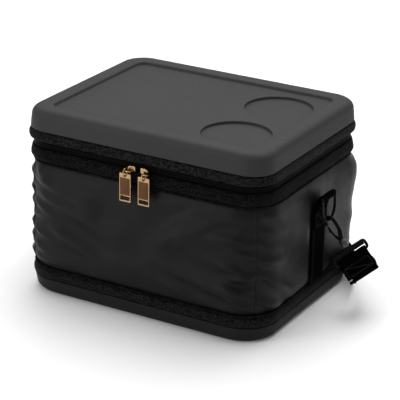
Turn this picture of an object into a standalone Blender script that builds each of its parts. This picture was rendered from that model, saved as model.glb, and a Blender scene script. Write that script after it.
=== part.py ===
# Insulated cooler bag: a moulded lid and base tray, soft insulated walls, a two-way zip with
# two sliders, side webbing with D-rings, and a shoulder strap on two swivel snap hooks.
# Frame: +X to the right, -Y to the front, +Z up, origin under the middle of the base.
import math

import bmesh
import bpy
from mathutils import Matrix, Vector

# Overall size (metres)
BAG_W = 0.332
BAG_D = 0.262
BAG_H = 0.237
GAP = 0.0003

# Heights of the levels, from the floor up
TRAY_TOP = 0.0192
BASE_PIPING_Z = 0.0345
TOP_PIPING_Z = 0.1712
LOWER_TAPE_TOP = 0.1892
ZIP_Z = 0.1935
UPPER_TAPE_BOTTOM = 0.1978
LID_BOTTOM = 0.2110

# Corner radii in plan
LID_RADIUS = 0.031
ZIP_RADIUS = 0.036
BODY_RADIUS = 0.045
CORNER_SEGMENTS = 5

# Fabric walls: inset at the seams, and how far they belly out between them
SEAM_INSET = 0.0018
BELLY = 0.0026

# Lid
PANEL_W = 0.279
PANEL_D = 0.210
PANEL_RADIUS = 0.012
PANEL_DEPTH = 0.0045
CUP_RADIUS = 0.042
CUP_DEPTH = 0.0035
CUP_X = 0.0915
CUP_Y = (-0.0600, 0.0475)

# Zip, sliders and pulls
COIL_RADIUS = 0.0015
HINGE_HALF = 0.112
SLIDER_X = {"left": -0.0062, "right": 0.0112}
SLIDER_LENGTH = 0.0150
SLIDER_FRONT = -0.1352
LINK_RADIUS = 0.0048
LINK_WIRE = 0.0009
PULL_W = 0.0155
PULL_H = 0.0350
PULL_T = 0.0022

# Side webbing, D-rings and hooks
SIDE_Y = 0.010
WEB_T = 0.0018
BAR_X = 0.181
BAR_Z = 0.149
D_WIRE = 0.00175
D_HALF = 0.01725
D_DROP = 0.032
D_LEAN = math.radians(4)
HOOK_LEAN = {"right": math.radians(40), "left": math.radians(24)}
HOOK_TWIST = {"right": math.radians(35), "left": math.radians(50)}
HOOK_WIRE = 0.0019
HOOK_ARC = 0.0060
BARREL_START = 0.0270
BARREL_END = 0.0375
STRAP_W = 0.040
STRAP_BAR_TOP = 0.0410
STRAP_BAR_LOW = 0.0510
STRAP_END_LENGTH = 0.0230

# Free length of the shoulder strap: hand-laid route, then the way its width faces at each point
STRAP_ROUTE = {
    "lead_right": [
        ((0.2319, 0.0100, 0.0592), (0.627, 0.574, 0.527)),
        ((0.2328, 0.0103, 0.0578), (0.627, 0.574, 0.527)),
        ((0.2330, 0.0118, 0.0559), (0.627, 0.574, 0.527)),
        ((0.2316, 0.0145, 0.0545), (0.627, 0.574, 0.527)),
        ((0.2281, 0.0198, 0.0529), (0.60, 0.58, 0.55)),
        ((0.2210, 0.0350, 0.0512), (0.45, 0.48, 0.75)),
        ((0.2071, 0.0550, 0.0448), (0.15, 0.25, 0.96)),
        ((0.1915, 0.0780, 0.0312), (0.03, 0.08, 1.00)),
        ((0.1785, 0.1000, 0.0225), (0.00, 0.00, 1.00)),
        ((0.1610, 0.1245, 0.0209), (0.00, 0.00, 1.00)),
        ((0.1370, 0.1430, 0.0207), (0.00, -0.05, 1.00)),
    ],
    "main": [
        ((0.1370, 0.1430, 0.0207), (0.00, -0.05, 1.00)),
        ((0.1060, 0.1585, 0.0204), (0.00, -0.16, 0.98)),
        ((0.0720, 0.1750, 0.0192), (-0.10, -0.42, 0.90)),
        ((0.0320, 0.1950, 0.0152), (-0.25, -0.68, 0.68)),
        ((-0.0120, 0.2150, 0.0092), (-0.38, -0.83, 0.40)),
        ((-0.0600, 0.2310, 0.0036), (-0.30, -0.94, 0.12)),
        ((-0.1120, 0.2400, 0.0016), (-0.12, -0.99, 0.00)),
        ((-0.1650, 0.2390, 0.0016), (0.08, -0.99, 0.02)),
        ((-0.2130, 0.2230, 0.0040), (0.46, -0.88, 0.12)),
        ((-0.2430, 0.1930, 0.0062), (0.84, -0.48, 0.22)),
        ((-0.2500, 0.1580, 0.0040), (0.98, -0.05, 0.12)),
        ((-0.2440, 0.1250, 0.0018), (0.98, 0.20, 0.02)),
    ],
    "lead_left": [
        ((-0.2440, 0.1250, 0.0018), (0.98, 0.20, 0.02)),
        ((-0.2375, 0.0960, 0.0016), (0.97, 0.24, 0.00)),
        ((-0.2255, 0.0660, 0.0018), (0.95, 0.30, 0.00)),
        ((-0.2160, 0.0440, 0.0044), (0.99, -0.08, -0.03)),
        ((-0.2205, 0.0240, 0.0125), (0.88, -0.45, -0.12)),
        ((-0.2225, 0.0135, 0.0250), (0.72, -0.67, -0.20)),
        ((-0.2185, 0.0103, 0.0380), (0.61, -0.75, -0.25)),
        ((-0.2138, 0.0100, 0.0484), (0.587, -0.766, -0.261)),
    ],
}

# Paint
LID_GREY = (0.075, 0.074, 0.076)
FABRIC_GREY = (0.022, 0.022, 0.023)
TRIM_BLACK = (0.008, 0.008, 0.009)
GOLD = (0.78, 0.52, 0.24)
COPPER = (0.55, 0.26, 0.12)
SILVER = (0.62, 0.63, 0.65)
FOAM_WHITE = (0.78, 0.79, 0.78)


def clear_scene():
    for obj in list(bpy.data.objects):
        bpy.data.objects.remove(obj, do_unlink=True)


def make_material(name, colour, roughness, metallic=0.0):
    mat = bpy.data.materials.new(name)
    mat.use_nodes = True
    shader = mat.node_tree.nodes["Principled BSDF"]
    shader.inputs["Base Color"].default_value = (*colour, 1.0)
    shader.inputs["Roughness"].default_value = roughness
    shader.inputs["Metallic"].default_value = metallic
    return mat


def add_mesh_object(name, mesh, mat):
    mesh.materials.clear()
    mesh.materials.append(mat)
    obj = bpy.data.objects.new(name, mesh)
    bpy.context.scene.collection.objects.link(obj)
    return obj


def finish_bmesh(name, bm, mat, smooth=False):
    """Turn a bmesh into an object with its faces pointing out."""
    bmesh.ops.remove_doubles(bm, verts=bm.verts, dist=1e-6)
    bmesh.ops.recalc_face_normals(bm, faces=bm.faces)
    mesh = bpy.data.meshes.new(name)
    bm.to_mesh(mesh)
    bm.free()
    if smooth:
        mesh.shade_smooth()
        mesh.set_sharp_from_angle(angle=math.radians(50))
    return add_mesh_object(name, mesh, mat)


def bake_modifiers(obj):
    """Replace an object's mesh by the mesh its modifiers make."""
    bpy.context.view_layer.update()
    graph = bpy.context.evaluated_depsgraph_get()
    mesh = bpy.data.meshes.new_from_object(obj.evaluated_get(graph))
    obj.modifiers.clear()
    obj.data = mesh


def combine(obj, tool, operation):
    """Boolean one object with a tool, then remove the tool."""
    mod = obj.modifiers.new(operation, "BOOLEAN")
    mod.operation = operation
    mod.solver = "EXACT"
    mod.object = tool
    bake_modifiers(obj)
    bpy.data.objects.remove(tool, do_unlink=True)


def move_origin(obj, point):
    """Put an object's origin on its joint's axis without moving its shape."""
    obj.data.transform(Matrix.Translation(-Vector(point)))
    obj.location = point


# Shapes


def rounded_outline(inset, radius, z, width=BAG_W, depth=BAG_D, segments=CORNER_SEGMENTS):
    """Points round a rounded rectangle that lies `inset` inside the bag's outline."""
    cx = width / 2 - inset - radius
    cy = depth / 2 - inset - radius
    points = []
    for sx, sy, start in ((1, 1, 0), (-1, 1, 90), (-1, -1, 180), (1, -1, 270)):
        for k in range(segments + 1):
            a = math.radians(start + 90 * k / segments)
            points.append(Vector((sx * cx + radius * math.cos(a), sy * cy + radius * math.sin(a), z)))
    return points


def bridge_outlines(outlines, closed):
    """Join outlines in order; closed joins the last to the first, open fills both ends."""
    bm = bmesh.new()
    loops = [[bm.verts.new(p) for p in outline] for outline in outlines]
    pairs = list(zip(loops[:-1], loops[1:]))
    if closed:
        pairs.append((loops[-1], loops[0]))
    for first, second in pairs:
        for k in range(len(first)):
            bm.faces.new((first[k - 1], first[k], second[k], second[k - 1]))
    if not closed:
        bm.faces.new(loops[0])
        bm.faces.new(loops[-1])
    return bm


def solid_block(name, sections, mat, **size):
    """Closed block through (inset, radius, z) sections from the bottom up."""
    outlines = [rounded_outline(i, r, z, **size) for i, r, z in sections]
    return finish_bmesh(name, bridge_outlines(outlines, False), mat, smooth=True)


def band(name, outer, thickness, mat, inner=None):
    """Closed ring wall: outer (inset, radius, z) sections, then the same or another wall inside."""
    if inner is None:
        inner = [(i + thickness, r - thickness, z) for i, r, z in reversed(outer)]
    outlines = [rounded_outline(i, r, z) for i, r, z in outer + inner]
    return finish_bmesh(name, bridge_outlines(outlines, True), mat, smooth=True)


def pipe(name, points, radius, mat, cyclic=False, resolution=2):
    """Round bar along points, with filled ends when it isn't closed."""
    curve = bpy.data.curves.new(name + "_path", "CURVE")
    curve.dimensions = "3D"
    curve.bevel_depth = radius
    curve.bevel_resolution = resolution
    curve.use_fill_caps = True
    spline = curve.splines.new("POLY")
    spline.points.add(len(points) - 1)
    for knot, p in zip(spline.points, points):
        knot.co = (p[0], p[1], p[2], 1.0)
    spline.use_cyclic_u = cyclic
    holder = bpy.data.objects.new(name + "_path", curve)
    bpy.context.scene.collection.objects.link(holder)
    bpy.context.view_layer.update()
    graph = bpy.context.evaluated_depsgraph_get()
    mesh = bpy.data.meshes.new_from_object(holder.evaluated_get(graph))
    bpy.data.objects.remove(holder, do_unlink=True)
    bm = bmesh.new()
    bm.from_mesh(mesh)
    return finish_bmesh(name, bm, mat, smooth=True)


def rod(name, start, end, radius, mat, segments=20):
    """Straight cylinder between two points."""
    start, end = Vector(start), Vector(end)
    bm = bmesh.new()
    turn = (end - start).to_track_quat("Z", "Y").to_matrix().to_4x4()
    place = Matrix.Translation((start + end) / 2) @ turn
    bmesh.ops.create_cone(
        bm,
        cap_ends=True,
        segments=segments,
        radius1=radius,
        radius2=radius,
        depth=(end - start).length,
        matrix=place,
    )
    return finish_bmesh(name, bm, mat, smooth=True)


def box(name, low, high, mat, bevel=0.0):
    low, high = Vector(low), Vector(high)
    size = high - low
    bm = bmesh.new()
    place = Matrix.Translation((low + high) / 2) @ Matrix.Diagonal((*size, 1.0))
    bmesh.ops.create_cube(bm, size=1.0, matrix=place)
    if bevel:
        bmesh.ops.bevel(bm, geom=bm.edges[:], offset=bevel, segments=1, affect="EDGES")
    return finish_bmesh(name, bm, mat)


def ribbon(name, centres, facings, widths, thickness, mat):
    """Flat webbing along centres; facings say which way its width runs at each centre."""
    loops = []
    count = len(centres)
    for i in range(count):
        before, after = centres[max(i - 1, 0)], centres[min(i + 1, count - 1)]
        along = (after - before).normalized()
        across = (facings[i] - along * facings[i].dot(along)).normalized()
        up = along.cross(across)
        w, t = widths[i] / 2, thickness / 2
        corners = ((w, t), (-w, t), (-w, -t), (w, -t))
        loops.append([centres[i] + across * a + up * b for a, b in corners])
    return finish_bmesh(name, bridge_outlines(loops, False), mat)


def smooth_through(points, steps):
    """Catmull-Rom curve through vectors, `steps` pieces in each span."""
    out = []
    for i in range(len(points) - 1):
        p0 = points[i - 1] if i else points[0] * 2 - points[1]
        p3 = points[i + 2] if i + 2 < len(points) else points[i + 1] * 2 - points[i]
        p1, p2 = points[i], points[i + 1]
        for k in range(steps):
            t = k / steps
            cubic = (p1 * 3 - p0 - p2 * 3 + p3) * t * t * t / 2
            bend = (p0 * 2 - p1 * 5 + p2 * 4 - p3) * t * t / 2
            out.append(p1 + (p2 - p0) * t / 2 + bend + cubic)
    out.append(points[-1])
    return out


# Lid


def make_lid(mats):
    edge = 0.010
    wall = [(0.0, LID_RADIUS, LID_BOTTOM), (0.0012, LID_RADIUS, BAG_H - edge)]
    for k in range(1, 4):
        a = math.radians(90 * k / 3)
        inset = 0.0012 + edge * (1 - math.cos(a))
        height = BAG_H - edge + edge * math.sin(a)
        wall.append((inset, LID_RADIUS - edge * (1 - math.cos(a)) * 0.6, height))
    shell = solid_block("lid_shell", wall, mats["lid"])
    floor = BAG_H - PANEL_DEPTH
    panel = solid_block(
        "panel_tool",
        [(0.0, PANEL_RADIUS, floor), (0.0, PANEL_RADIUS, BAG_H + 0.01)],
        mats["lid"],
        width=PANEL_W,
        depth=PANEL_D,
        segments=3,
    )
    combine(shell, panel, "DIFFERENCE")
    for y in CUP_Y:
        low, high = (CUP_X, y, floor - CUP_DEPTH), (CUP_X, y, floor + 0.004)
        combine(shell, rod("cup_tool", low, high, CUP_RADIUS, mats["lid"], 32), "DIFFERENCE")
    cavity = [(0.0045, LID_RADIUS - 0.0045, LID_BOTTOM - 0.01), (0.0045, LID_RADIUS - 0.0045, 0.2252)]
    combine(shell, solid_block("cavity_tool", cavity, mats["lid"]), "DIFFERENCE")
    foam = [(0.0050, LID_RADIUS - 0.0050, 0.2100), (0.0050, LID_RADIUS - 0.0050, 0.2248)]
    solid_block("lid_insulation", foam, mats["foam"])
    liner = [(0.0052, ZIP_RADIUS - 0.0052, 0.2082), (0.0052, ZIP_RADIUS - 0.0052, 0.2096)]
    solid_block("lid_liner", liner, mats["liner"])


# Zip tapes, coils and piping


def make_tapes(mats):
    upper = [
        (0.0014, ZIP_RADIUS, UPPER_TAPE_BOTTOM),
        (-0.0020, ZIP_RADIUS - 0.002, 0.2025),
        (-0.0020, LID_RADIUS + 0.002, 0.2080),
        (0.0004, LID_RADIUS + 0.001, LID_BOTTOM - GAP),
    ]
    band("upper_zip_tape", upper, 0.0032, mats["trim"])
    lower = [
        (0.0004, BODY_RADIUS - 0.001, TOP_PIPING_Z + 0.0021),
        (-0.0026, BODY_RADIUS - 0.003, 0.1780),
        (-0.0026, ZIP_RADIUS + 0.004, 0.1845),
        (0.0014, ZIP_RADIUS, LOWER_TAPE_TOP),
    ]
    band("lower_zip_tape", lower, 0.0030, mats["trim"])


def coil_path(z):
    """Zip line from the rear left, round the front, to the rear right."""
    outline = rounded_outline(0.0036, ZIP_RADIUS - 0.0036, z)
    back_left, back_right = outline[CORNER_SEGMENTS + 1 :], outline[: CORNER_SEGMENTS + 1]
    y = BAG_D / 2 - 0.0036
    start, end = Vector((-HINGE_HALF - 0.004, y, z)), Vector((HINGE_HALF + 0.004, y, z))
    return [start] + back_left + back_right + [end]


def make_zip(mats):
    offset = COIL_RADIUS + GAP / 2
    pipe("upper_zip_coil", coil_path(ZIP_Z + offset), COIL_RADIUS, mats["coil"], resolution=1)
    pipe("lower_zip_coil", coil_path(ZIP_Z - offset), COIL_RADIUS, mats["coil"], resolution=1)
    y = BAG_D / 2
    low, high = (-HINGE_HALF, y - 0.0046, 0.1895), (HINGE_HALF, y - 0.0026, 0.1975)
    box("rear_hinge", low, high, mats["fabric"])
    for side, s in (("left", -1), ("right", 1)):
        x = s * (HINGE_HALF + 0.002)
        low, high = (x - 0.0015, y - 0.0052, 0.1895), (x + 0.0015, y - 0.0020, 0.1974)
        box("zip_stop_" + side, low, high, mats["gold"])


def make_piping(mats):
    for name, z, inset, radius in (
        ("top_piping", TOP_PIPING_Z, -0.0006, BODY_RADIUS),
        ("base_piping", BASE_PIPING_Z, -0.0012, BODY_RADIUS),
    ):
        outline = rounded_outline(inset, radius, z)
        pipe(name, outline, 0.00165, mats["trim"], cyclic=True, resolution=1)


def make_body(mats):
    """Fabric skin that bellies out between its two seams, foam walls, liner tub and rim."""
    low, high = BASE_PIPING_Z - 0.0020, TOP_PIPING_Z + 0.0016
    skin = [
        (SEAM_INSET, BODY_RADIUS - SEAM_INSET, low),
        (SEAM_INSET, BODY_RADIUS - SEAM_INSET, low + 0.0040),
        (-BELLY + 0.0006, BODY_RADIUS, 0.0460),
        (-BELLY, BODY_RADIUS, 0.1020),
        (-BELLY + 0.0006, BODY_RADIUS, 0.1580),
        (SEAM_INSET, BODY_RADIUS - SEAM_INSET, high - 0.0040),
        (SEAM_INSET, BODY_RADIUS - SEAM_INSET, high),
    ]
    band("body_fabric", skin, 0.0015, mats["fabric"])
    deep = BODY_RADIUS - 0.0046
    wall = [
        (0.0046, deep, 0.0215),
        (0.0046, deep, 0.0380),
        (0.0001, BODY_RADIUS - 0.0010, 0.0500),
        (0.0001, BODY_RADIUS - 0.0010, 0.1540),
        (0.0046, deep, 0.1660),
        (0.0046, deep, 0.1856),
    ]
    inside = [(0.0126, BODY_RADIUS - 0.0126, 0.1856), (0.0126, BODY_RADIUS - 0.0126, 0.0215)]
    band("wall_insulation", wall, 0.0, mats["foam"], inner=inside)
    inset, radius = 0.0130, BODY_RADIUS - 0.0130
    tub = solid_block("inner_liner", [(inset, radius, 0.0215), (inset, radius, 0.1856)], mats["liner"])
    inset, radius = inset + 0.0012, radius - 0.0012
    hollow = solid_block("tool", [(inset, radius, 0.0228), (inset, radius, 0.25)], mats["liner"])
    combine(tub, hollow, "DIFFERENCE")
    rim = [(0.0048, BODY_RADIUS - 0.0048, 0.1860), (0.0048, BODY_RADIUS - 0.0048, 0.1878)]
    band("rim_binding", rim, 0.0098, mats["trim"])


def make_base(mats):
    foot = 0.0075
    sections = []
    for k in range(4):
        a = math.radians(90 * k / 3)
        sections.append((foot * (1 - math.sin(a)), BODY_RADIUS - foot * (1 - math.sin(a)) * 0.6, foot * (1 - math.cos(a))))
    sections.append((-0.0020, BODY_RADIUS, TRAY_TOP))
    tray = solid_block("base_tray", sections, mats["lid"])
    inner = [(0.0040, BODY_RADIUS - 0.0040, 0.0045), (0.0040, BODY_RADIUS - 0.0040, 0.05)]
    combine(tray, solid_block("tray_tool", inner, mats["lid"]), "DIFFERENCE")
    pad = [(0.0045, BODY_RADIUS - 0.0045, 0.0048), (0.0045, BODY_RADIUS - 0.0045, 0.0210)]
    solid_block("floor_insulation", pad, mats["foam"])
    outer = [
        (-0.0008, BODY_RADIUS, TRAY_TOP + GAP),
        (-0.0026, BODY_RADIUS, 0.0235),
        (-0.0026, BODY_RADIUS, 0.0290),
        (-0.0004, BODY_RADIUS, 0.0321),
    ]
    band("base_tape", outer, 0.0032, mats["trim"])


# Zip sliders and pulls


def make_slider(side, outward, mats):
    """Slider with its crown arch; the link ring hangs at its outer end."""
    x = SLIDER_X[side]
    half = SLIDER_LENGTH / 2
    front = SLIDER_FRONT
    body = box(
        "slider_" + side,
        (x - half, front, ZIP_Z - 0.0072),
        (x + half, front + 0.0024, ZIP_Z + 0.0052),
        mats["gold"],
        bevel=0.0007,
    )
    foot_out, foot_in = x + outward * 0.0071, x - outward * 0.0010
    z = ZIP_Z - 0.0045
    arch = [
        (foot_out, front + 0.0010, z),
        (foot_out, front - 0.0022, z),
        (foot_out - outward * 0.0012, front - 0.0040, z),
        (foot_in + outward * 0.0012, front - 0.0040, z),
        (foot_in, front - 0.0022, z),
        (foot_in, front + 0.0010, z),
    ]
    combine(body, pipe("arch_tool", arch, 0.0008, mats["gold"], resolution=1), "UNION")
    move_origin(body, (x, front, ZIP_Z))
    return x + outward * 0.0040, front - 0.0016, z


def make_pull(side, outward, mats):
    """Link ring through the slider's arch, and the framed plate that hangs from it."""
    x, y, z = make_slider(side, outward, mats)
    centre = Vector((x, y - LINK_RADIUS, z))
    ring = []
    for k in range(20):
        a = 2 * math.pi * k / 20
        ring.append(centre + Vector((0, LINK_RADIUS * math.cos(a), LINK_RADIUS * math.sin(a))))
    link = pipe("link_ring_" + side, ring, LINK_WIRE, mats["gold"], cyclic=True, resolution=1)
    move_origin(link, centre)

    pivot = centre - Vector((0, 0, LINK_RADIUS))
    top = pivot.z + 0.0030
    y0, y1 = centre.y - PULL_T / 2, centre.y + PULL_T / 2
    left, right = x - PULL_W / 2, x + PULL_W / 2
    plate = box("pull_" + side, (left, y0, top - PULL_H), (right, y1, top), mats["gold"], bevel=0.0004)
    hole = rod("hole_tool", pivot - Vector((0, 0.01, 0)), pivot + Vector((0, 0.01, 0)), 0.0017, mats["gold"], 12)
    combine(plate, hole, "DIFFERENCE")
    window = box(
        "window_tool",
        (x - 0.0048, y0 - 0.01, top - PULL_H + 0.0016),
        (x + 0.0048, y1 + 0.01, top - PULL_H + 0.0070),
        mats["gold"],
    )
    combine(plate, window, "DIFFERENCE")
    inlay_low = (left + 0.0017, y0 - 0.01, top - PULL_H + 0.0086)
    inlay_high = (right - 0.0017, y0 + 0.0007, top - 0.0058)
    combine(plate, box("inlay_tool", inlay_low, inlay_high, mats["gold"]), "DIFFERENCE")
    move_origin(plate, pivot)
    inset = Vector((GAP, 0, GAP))
    low = Vector((inlay_low[0], y0 + 0.0002, inlay_low[2])) + inset
    high = Vector((inlay_high[0], y0 + 0.0007 - GAP / 2, inlay_high[2])) - inset
    inlay = box("pull_inlay_" + side, low, high, mats["copper"])
    move_origin(inlay, pivot)


# Side webbing, D-rings, snap hooks and strap ends


def side_point(s, x, y, z):
    return Vector((s * x, y, z))


def make_side_webbing(side, s, mats):
    """Strip up from the base seam, over the D-ring's bar and back down over itself."""
    x0 = BAG_W / 2 + BELLY + GAP + WEB_T / 2
    path = [(x0, 0.0368), (x0, 0.0900), (x0, 0.1300), (x0 + 0.0012, 0.1390), (x0 + 0.0050, 0.1478)]
    wrap = D_WIRE + 1.5 * GAP + WEB_T / 2
    for k in range(9):
        a = math.radians(140 - 250 * k / 8)
        path.append((BAR_X + wrap * math.cos(a), BAR_Z + wrap * math.sin(a)))
    x1 = x0 + WEB_T + GAP
    path += [(x0 + 0.0064, 0.1418), (x1 + 0.0018, 0.1345), (x1, 0.1280), (x1, 0.1080)]
    centres = [side_point(s, x, SIDE_Y, z) for x, z in path]
    facings = [Vector((0, 1, 0))] * len(centres)
    widths = [0.036] * 3 + [0.033] + [0.030] * 11 + [0.031, 0.034, 0.034]
    ribbon("side_webbing_" + side, centres, facings, widths, WEB_T, mats["trim"])


def make_d_ring(side, s, mats):
    """D-ring hanging from the webbing loop, leaning a little outward."""
    corner = 0.0025
    flat = [(-D_HALF + corner, 0.0), (D_HALF - corner, 0.0)]
    for k in range(1, 4):
        a = math.radians(90 - 90 * k / 3)
        flat.append((D_HALF - corner + corner * math.cos(a), corner - corner * math.sin(a)))
    for k in range(13):
        a = math.radians(180 * k / 12)
        flat.append((D_HALF * math.cos(a), D_DROP - 0.020 + 0.020 * math.sin(a)))
    for k in range(3):
        a = math.radians(90 * k / 3)
        flat.append((-D_HALF + corner - corner * math.cos(a), corner - corner * math.sin(a)))
    points = []
    for y, d in flat:
        drop = Vector((math.sin(D_LEAN) * d, y, -math.cos(D_LEAN) * d))
        points.append(side_point(s, BAR_X + drop.x, SIDE_Y + drop.y, BAR_Z + drop.z))
    ring = pipe("d_ring_" + side, points, D_WIRE, mats["metal"], cyclic=True, resolution=1)
    move_origin(ring, side_point(s, BAR_X, SIDE_Y, BAR_Z))


def hook_frame(side, s):
    """Where the hook hangs, and its long, outward and strap-width directions."""
    start = side_point(s, BAR_X + D_DROP * math.sin(D_LEAN), SIDE_Y, BAR_Z - D_DROP * math.cos(D_LEAN))
    lean, twist = HOOK_LEAN[side], HOOK_TWIST[side]
    down = Vector((s * math.sin(lean), 0, -math.cos(lean)))
    out = Vector((s * math.cos(lean), 0, math.sin(lean)))
    across = out * math.cos(twist) + Vector((0, 1, 0)) * math.sin(twist)
    return start, down, out, across


def make_hook(side, s, mats):
    """Snap hook with a swivel barrel, and its sprung gate."""
    start, down, out, _ = hook_frame(side, s)
    centre = 0.00205
    flat = [(0.0290, 0.0), (0.0262, 0.0004), (0.0225, 0.0024), (0.0180, 0.0048), (0.0120, 0.0060)]
    for k in range(11):
        a = math.radians(180 * k / 10)
        flat.append((centre - HOOK_ARC * math.sin(a), HOOK_ARC * math.cos(a)))
    flat.append((0.0042, -0.0060))
    points = [start + down * a + out * b for a, b in flat]
    hook = pipe("snap_hook_" + side, points, HOOK_WIRE, mats["metal"], resolution=1)
    low, high = start + down * BARREL_START, start + down * BARREL_END
    combine(hook, rod("barrel_tool", low, high, 0.0035, mats["metal"]), "UNION")
    move_origin(hook, start)

    gate_flat = [(0.0064, -0.0060), (0.0160, -0.0054), (0.0240, -0.0040)]
    gate_points = [start + down * a + out * b for a, b in gate_flat]
    gate = pipe("hook_gate_" + side, gate_points, 0.0014, mats["metal"], resolution=1)
    move_origin(gate, gate_points[-1])


def make_strap_ring(side, s, mats):
    """Flat ring under the swivel that the strap's end loops through."""
    start, down, _, across = hook_frame(side, s)
    half, corner = 0.0226, 0.0025
    top, low = STRAP_BAR_TOP, STRAP_BAR_LOW
    flat = []
    for ca, cb, start_angle in (
        (top + corner, half - corner, 90),
        (low - corner, half - corner, 0),
        (low - corner, -half + corner, -90),
        (top + corner, -half + corner, -180),
    ):
        for k in range(3):
            a = math.radians(start_angle - 45 * k)
            flat.append((ca - corner * math.sin(a), cb + corner * math.cos(a)))
    points = [start + down * a + across * b for a, b in flat]
    ring = pipe("strap_ring_" + side, points, 0.0019, mats["metal"], cyclic=True, resolution=1)
    low_end, high_end = start + down * (BARREL_END + GAP), start + down * STRAP_BAR_TOP
    combine(ring, rod("collar_tool", low_end, high_end, 0.0031, mats["metal"]), "UNION")
    move_origin(ring, start + down * STRAP_BAR_TOP)


def make_strap_end(side, s, mats):
    """Webbing looped round the ring's lower bar and sewn back on itself."""
    start, down, _, across = hook_frame(side, s)
    normal = across.cross(down)
    leg = WEB_T / 2 + GAP / 2
    wrap = 0.0019 + GAP + WEB_T / 2
    far = STRAP_BAR_LOW + STRAP_END_LENGTH
    flat = [(far, leg), (STRAP_BAR_LOW + 0.0110, leg), (STRAP_BAR_LOW + 0.0060, leg + 0.0007)]
    for k in range(9):
        a = math.radians(-20 + 220 * k / 8)
        flat.append((STRAP_BAR_LOW - wrap * math.sin(a), wrap * math.cos(a)))
    flat += [(STRAP_BAR_LOW + 0.0060, -leg - 0.0007), (STRAP_BAR_LOW + 0.0110, -leg), (far, -leg)]
    centres = [start + down * a + normal * b for a, b in flat]
    count = len(centres)
    ribbon("strap_end_" + side, centres, [across] * count, [STRAP_W] * count, WEB_T, mats["trim"])


# Shoulder strap


def route(key, steps):
    points = [Vector(p) for p, _ in STRAP_ROUTE[key]]
    facings = [Vector(f) for _, f in STRAP_ROUTE[key]]
    return smooth_through(points, steps), smooth_through(facings, steps)


def make_strap(mats):
    for key, steps in (("lead_right", 3), ("main", 3), ("lead_left", 3)):
        centres, facings = route(key, steps)
        if key == "main":
            first, last = centres[0], centres[-1]
            centres[0] = first + (centres[1] - first).normalized() * 5 * GAP
            centres[-1] = last + (centres[-2] - last).normalized() * 8 * GAP
        widths = [STRAP_W] * len(centres)
        ribbon("strap_" + key, centres, facings, widths, WEB_T, mats["trim"])


def make_materials():
    return {
        "lid": make_material("moulded_shell", LID_GREY, 0.62),
        "fabric": make_material("coated_fabric", FABRIC_GREY, 0.70),
        "trim": make_material("black_webbing", TRIM_BLACK, 0.85),
        "coil": make_material("zip_coil", TRIM_BLACK, 0.45),
        "gold": make_material("gold_metal", GOLD, 0.28, 1.0),
        "copper": make_material("copper_inlay", COPPER, 0.38, 1.0),
        "metal": make_material("black_metal", TRIM_BLACK, 0.30, 0.6),
        "liner": make_material("silver_liner", SILVER, 0.35, 0.4),
        "foam": make_material("white_foam", FOAM_WHITE, 0.90),
    }


def main():
    clear_scene()
    mats = make_materials()
    make_base(mats)
    make_body(mats)
    make_piping(mats)
    make_tapes(mats)
    make_zip(mats)
    make_lid(mats)
    for side, s in (("left", -1), ("right", 1)):
        make_pull(side, s, mats)
        make_side_webbing(side, s, mats)
        make_d_ring(side, s, mats)
        make_hook(side, s, mats)
        make_strap_ring(side, s, mats)
        make_strap_end(side, s, mats)
    make_strap(mats)


main()
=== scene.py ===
# %% [markdown]
# # Insulated cooler bag
# This lesson dresses the fixed CAD frame of a soft cooler bag: a moulded lid and base, loose
# fabric walls, a zip right round, side webbing with D-rings, and a shoulder strap.
# +X is the bag's right, -Y its front, and all lengths are in metres.

# %% Load the frame
import math

import bmesh
import bpy
from mathutils import Matrix, Vector, noise
from mathutils.bvhtree import BVHTree


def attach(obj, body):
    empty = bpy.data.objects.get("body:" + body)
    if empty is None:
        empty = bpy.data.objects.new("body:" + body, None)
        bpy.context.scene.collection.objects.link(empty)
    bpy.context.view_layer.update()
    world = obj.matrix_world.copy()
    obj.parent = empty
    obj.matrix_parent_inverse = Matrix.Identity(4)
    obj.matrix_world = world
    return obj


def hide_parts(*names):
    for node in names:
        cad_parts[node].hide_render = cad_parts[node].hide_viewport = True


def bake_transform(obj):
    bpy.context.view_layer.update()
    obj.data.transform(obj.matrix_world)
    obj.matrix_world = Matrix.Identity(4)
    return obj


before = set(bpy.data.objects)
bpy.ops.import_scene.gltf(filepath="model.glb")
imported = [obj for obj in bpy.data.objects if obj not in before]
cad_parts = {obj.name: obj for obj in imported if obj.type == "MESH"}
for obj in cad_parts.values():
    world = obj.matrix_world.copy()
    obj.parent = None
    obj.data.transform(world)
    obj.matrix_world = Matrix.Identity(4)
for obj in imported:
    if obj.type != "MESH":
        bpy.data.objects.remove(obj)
bpy.context.view_layer.update()
bpy.context.scene.view_settings.view_transform = "Standard"
print("frame loaded:", len(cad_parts), "nodes")

# %% [markdown]
# ## Camera and light
# A long lens keeps the bag's edges nearly parallel, so the camera stands well back.
# The light is one broad panel overhead and a weaker one at each side: black cloth shows its
# folds only where a broad panel grazes it.

# %% Camera
camera_data = bpy.data.cameras.new("camera")
camera_data.lens = 161.34
camera_data.sensor_width = 36.0
camera_data.clip_start = 0.05
camera = bpy.data.objects.new("camera", camera_data)
bpy.context.scene.collection.objects.link(camera)
CAMERA_RIGHT = Vector((0.867292, 0.497490, 0.017566))
CAMERA_UP = Vector((-0.201123, 0.317911, 0.926543))
CAMERA_BACK = Vector((0.455361, -0.807116, 0.375778))
CAMERA_PLACE = Vector((1.02403, -1.79646, 0.94625))
turn = Matrix((CAMERA_RIGHT, CAMERA_UP, CAMERA_BACK)).transposed().to_4x4()
camera.matrix_world = Matrix.Translation(CAMERA_PLACE) @ turn
bpy.context.scene.camera = camera
print("camera at", tuple(round(c, 3) for c in camera.location))


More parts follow.
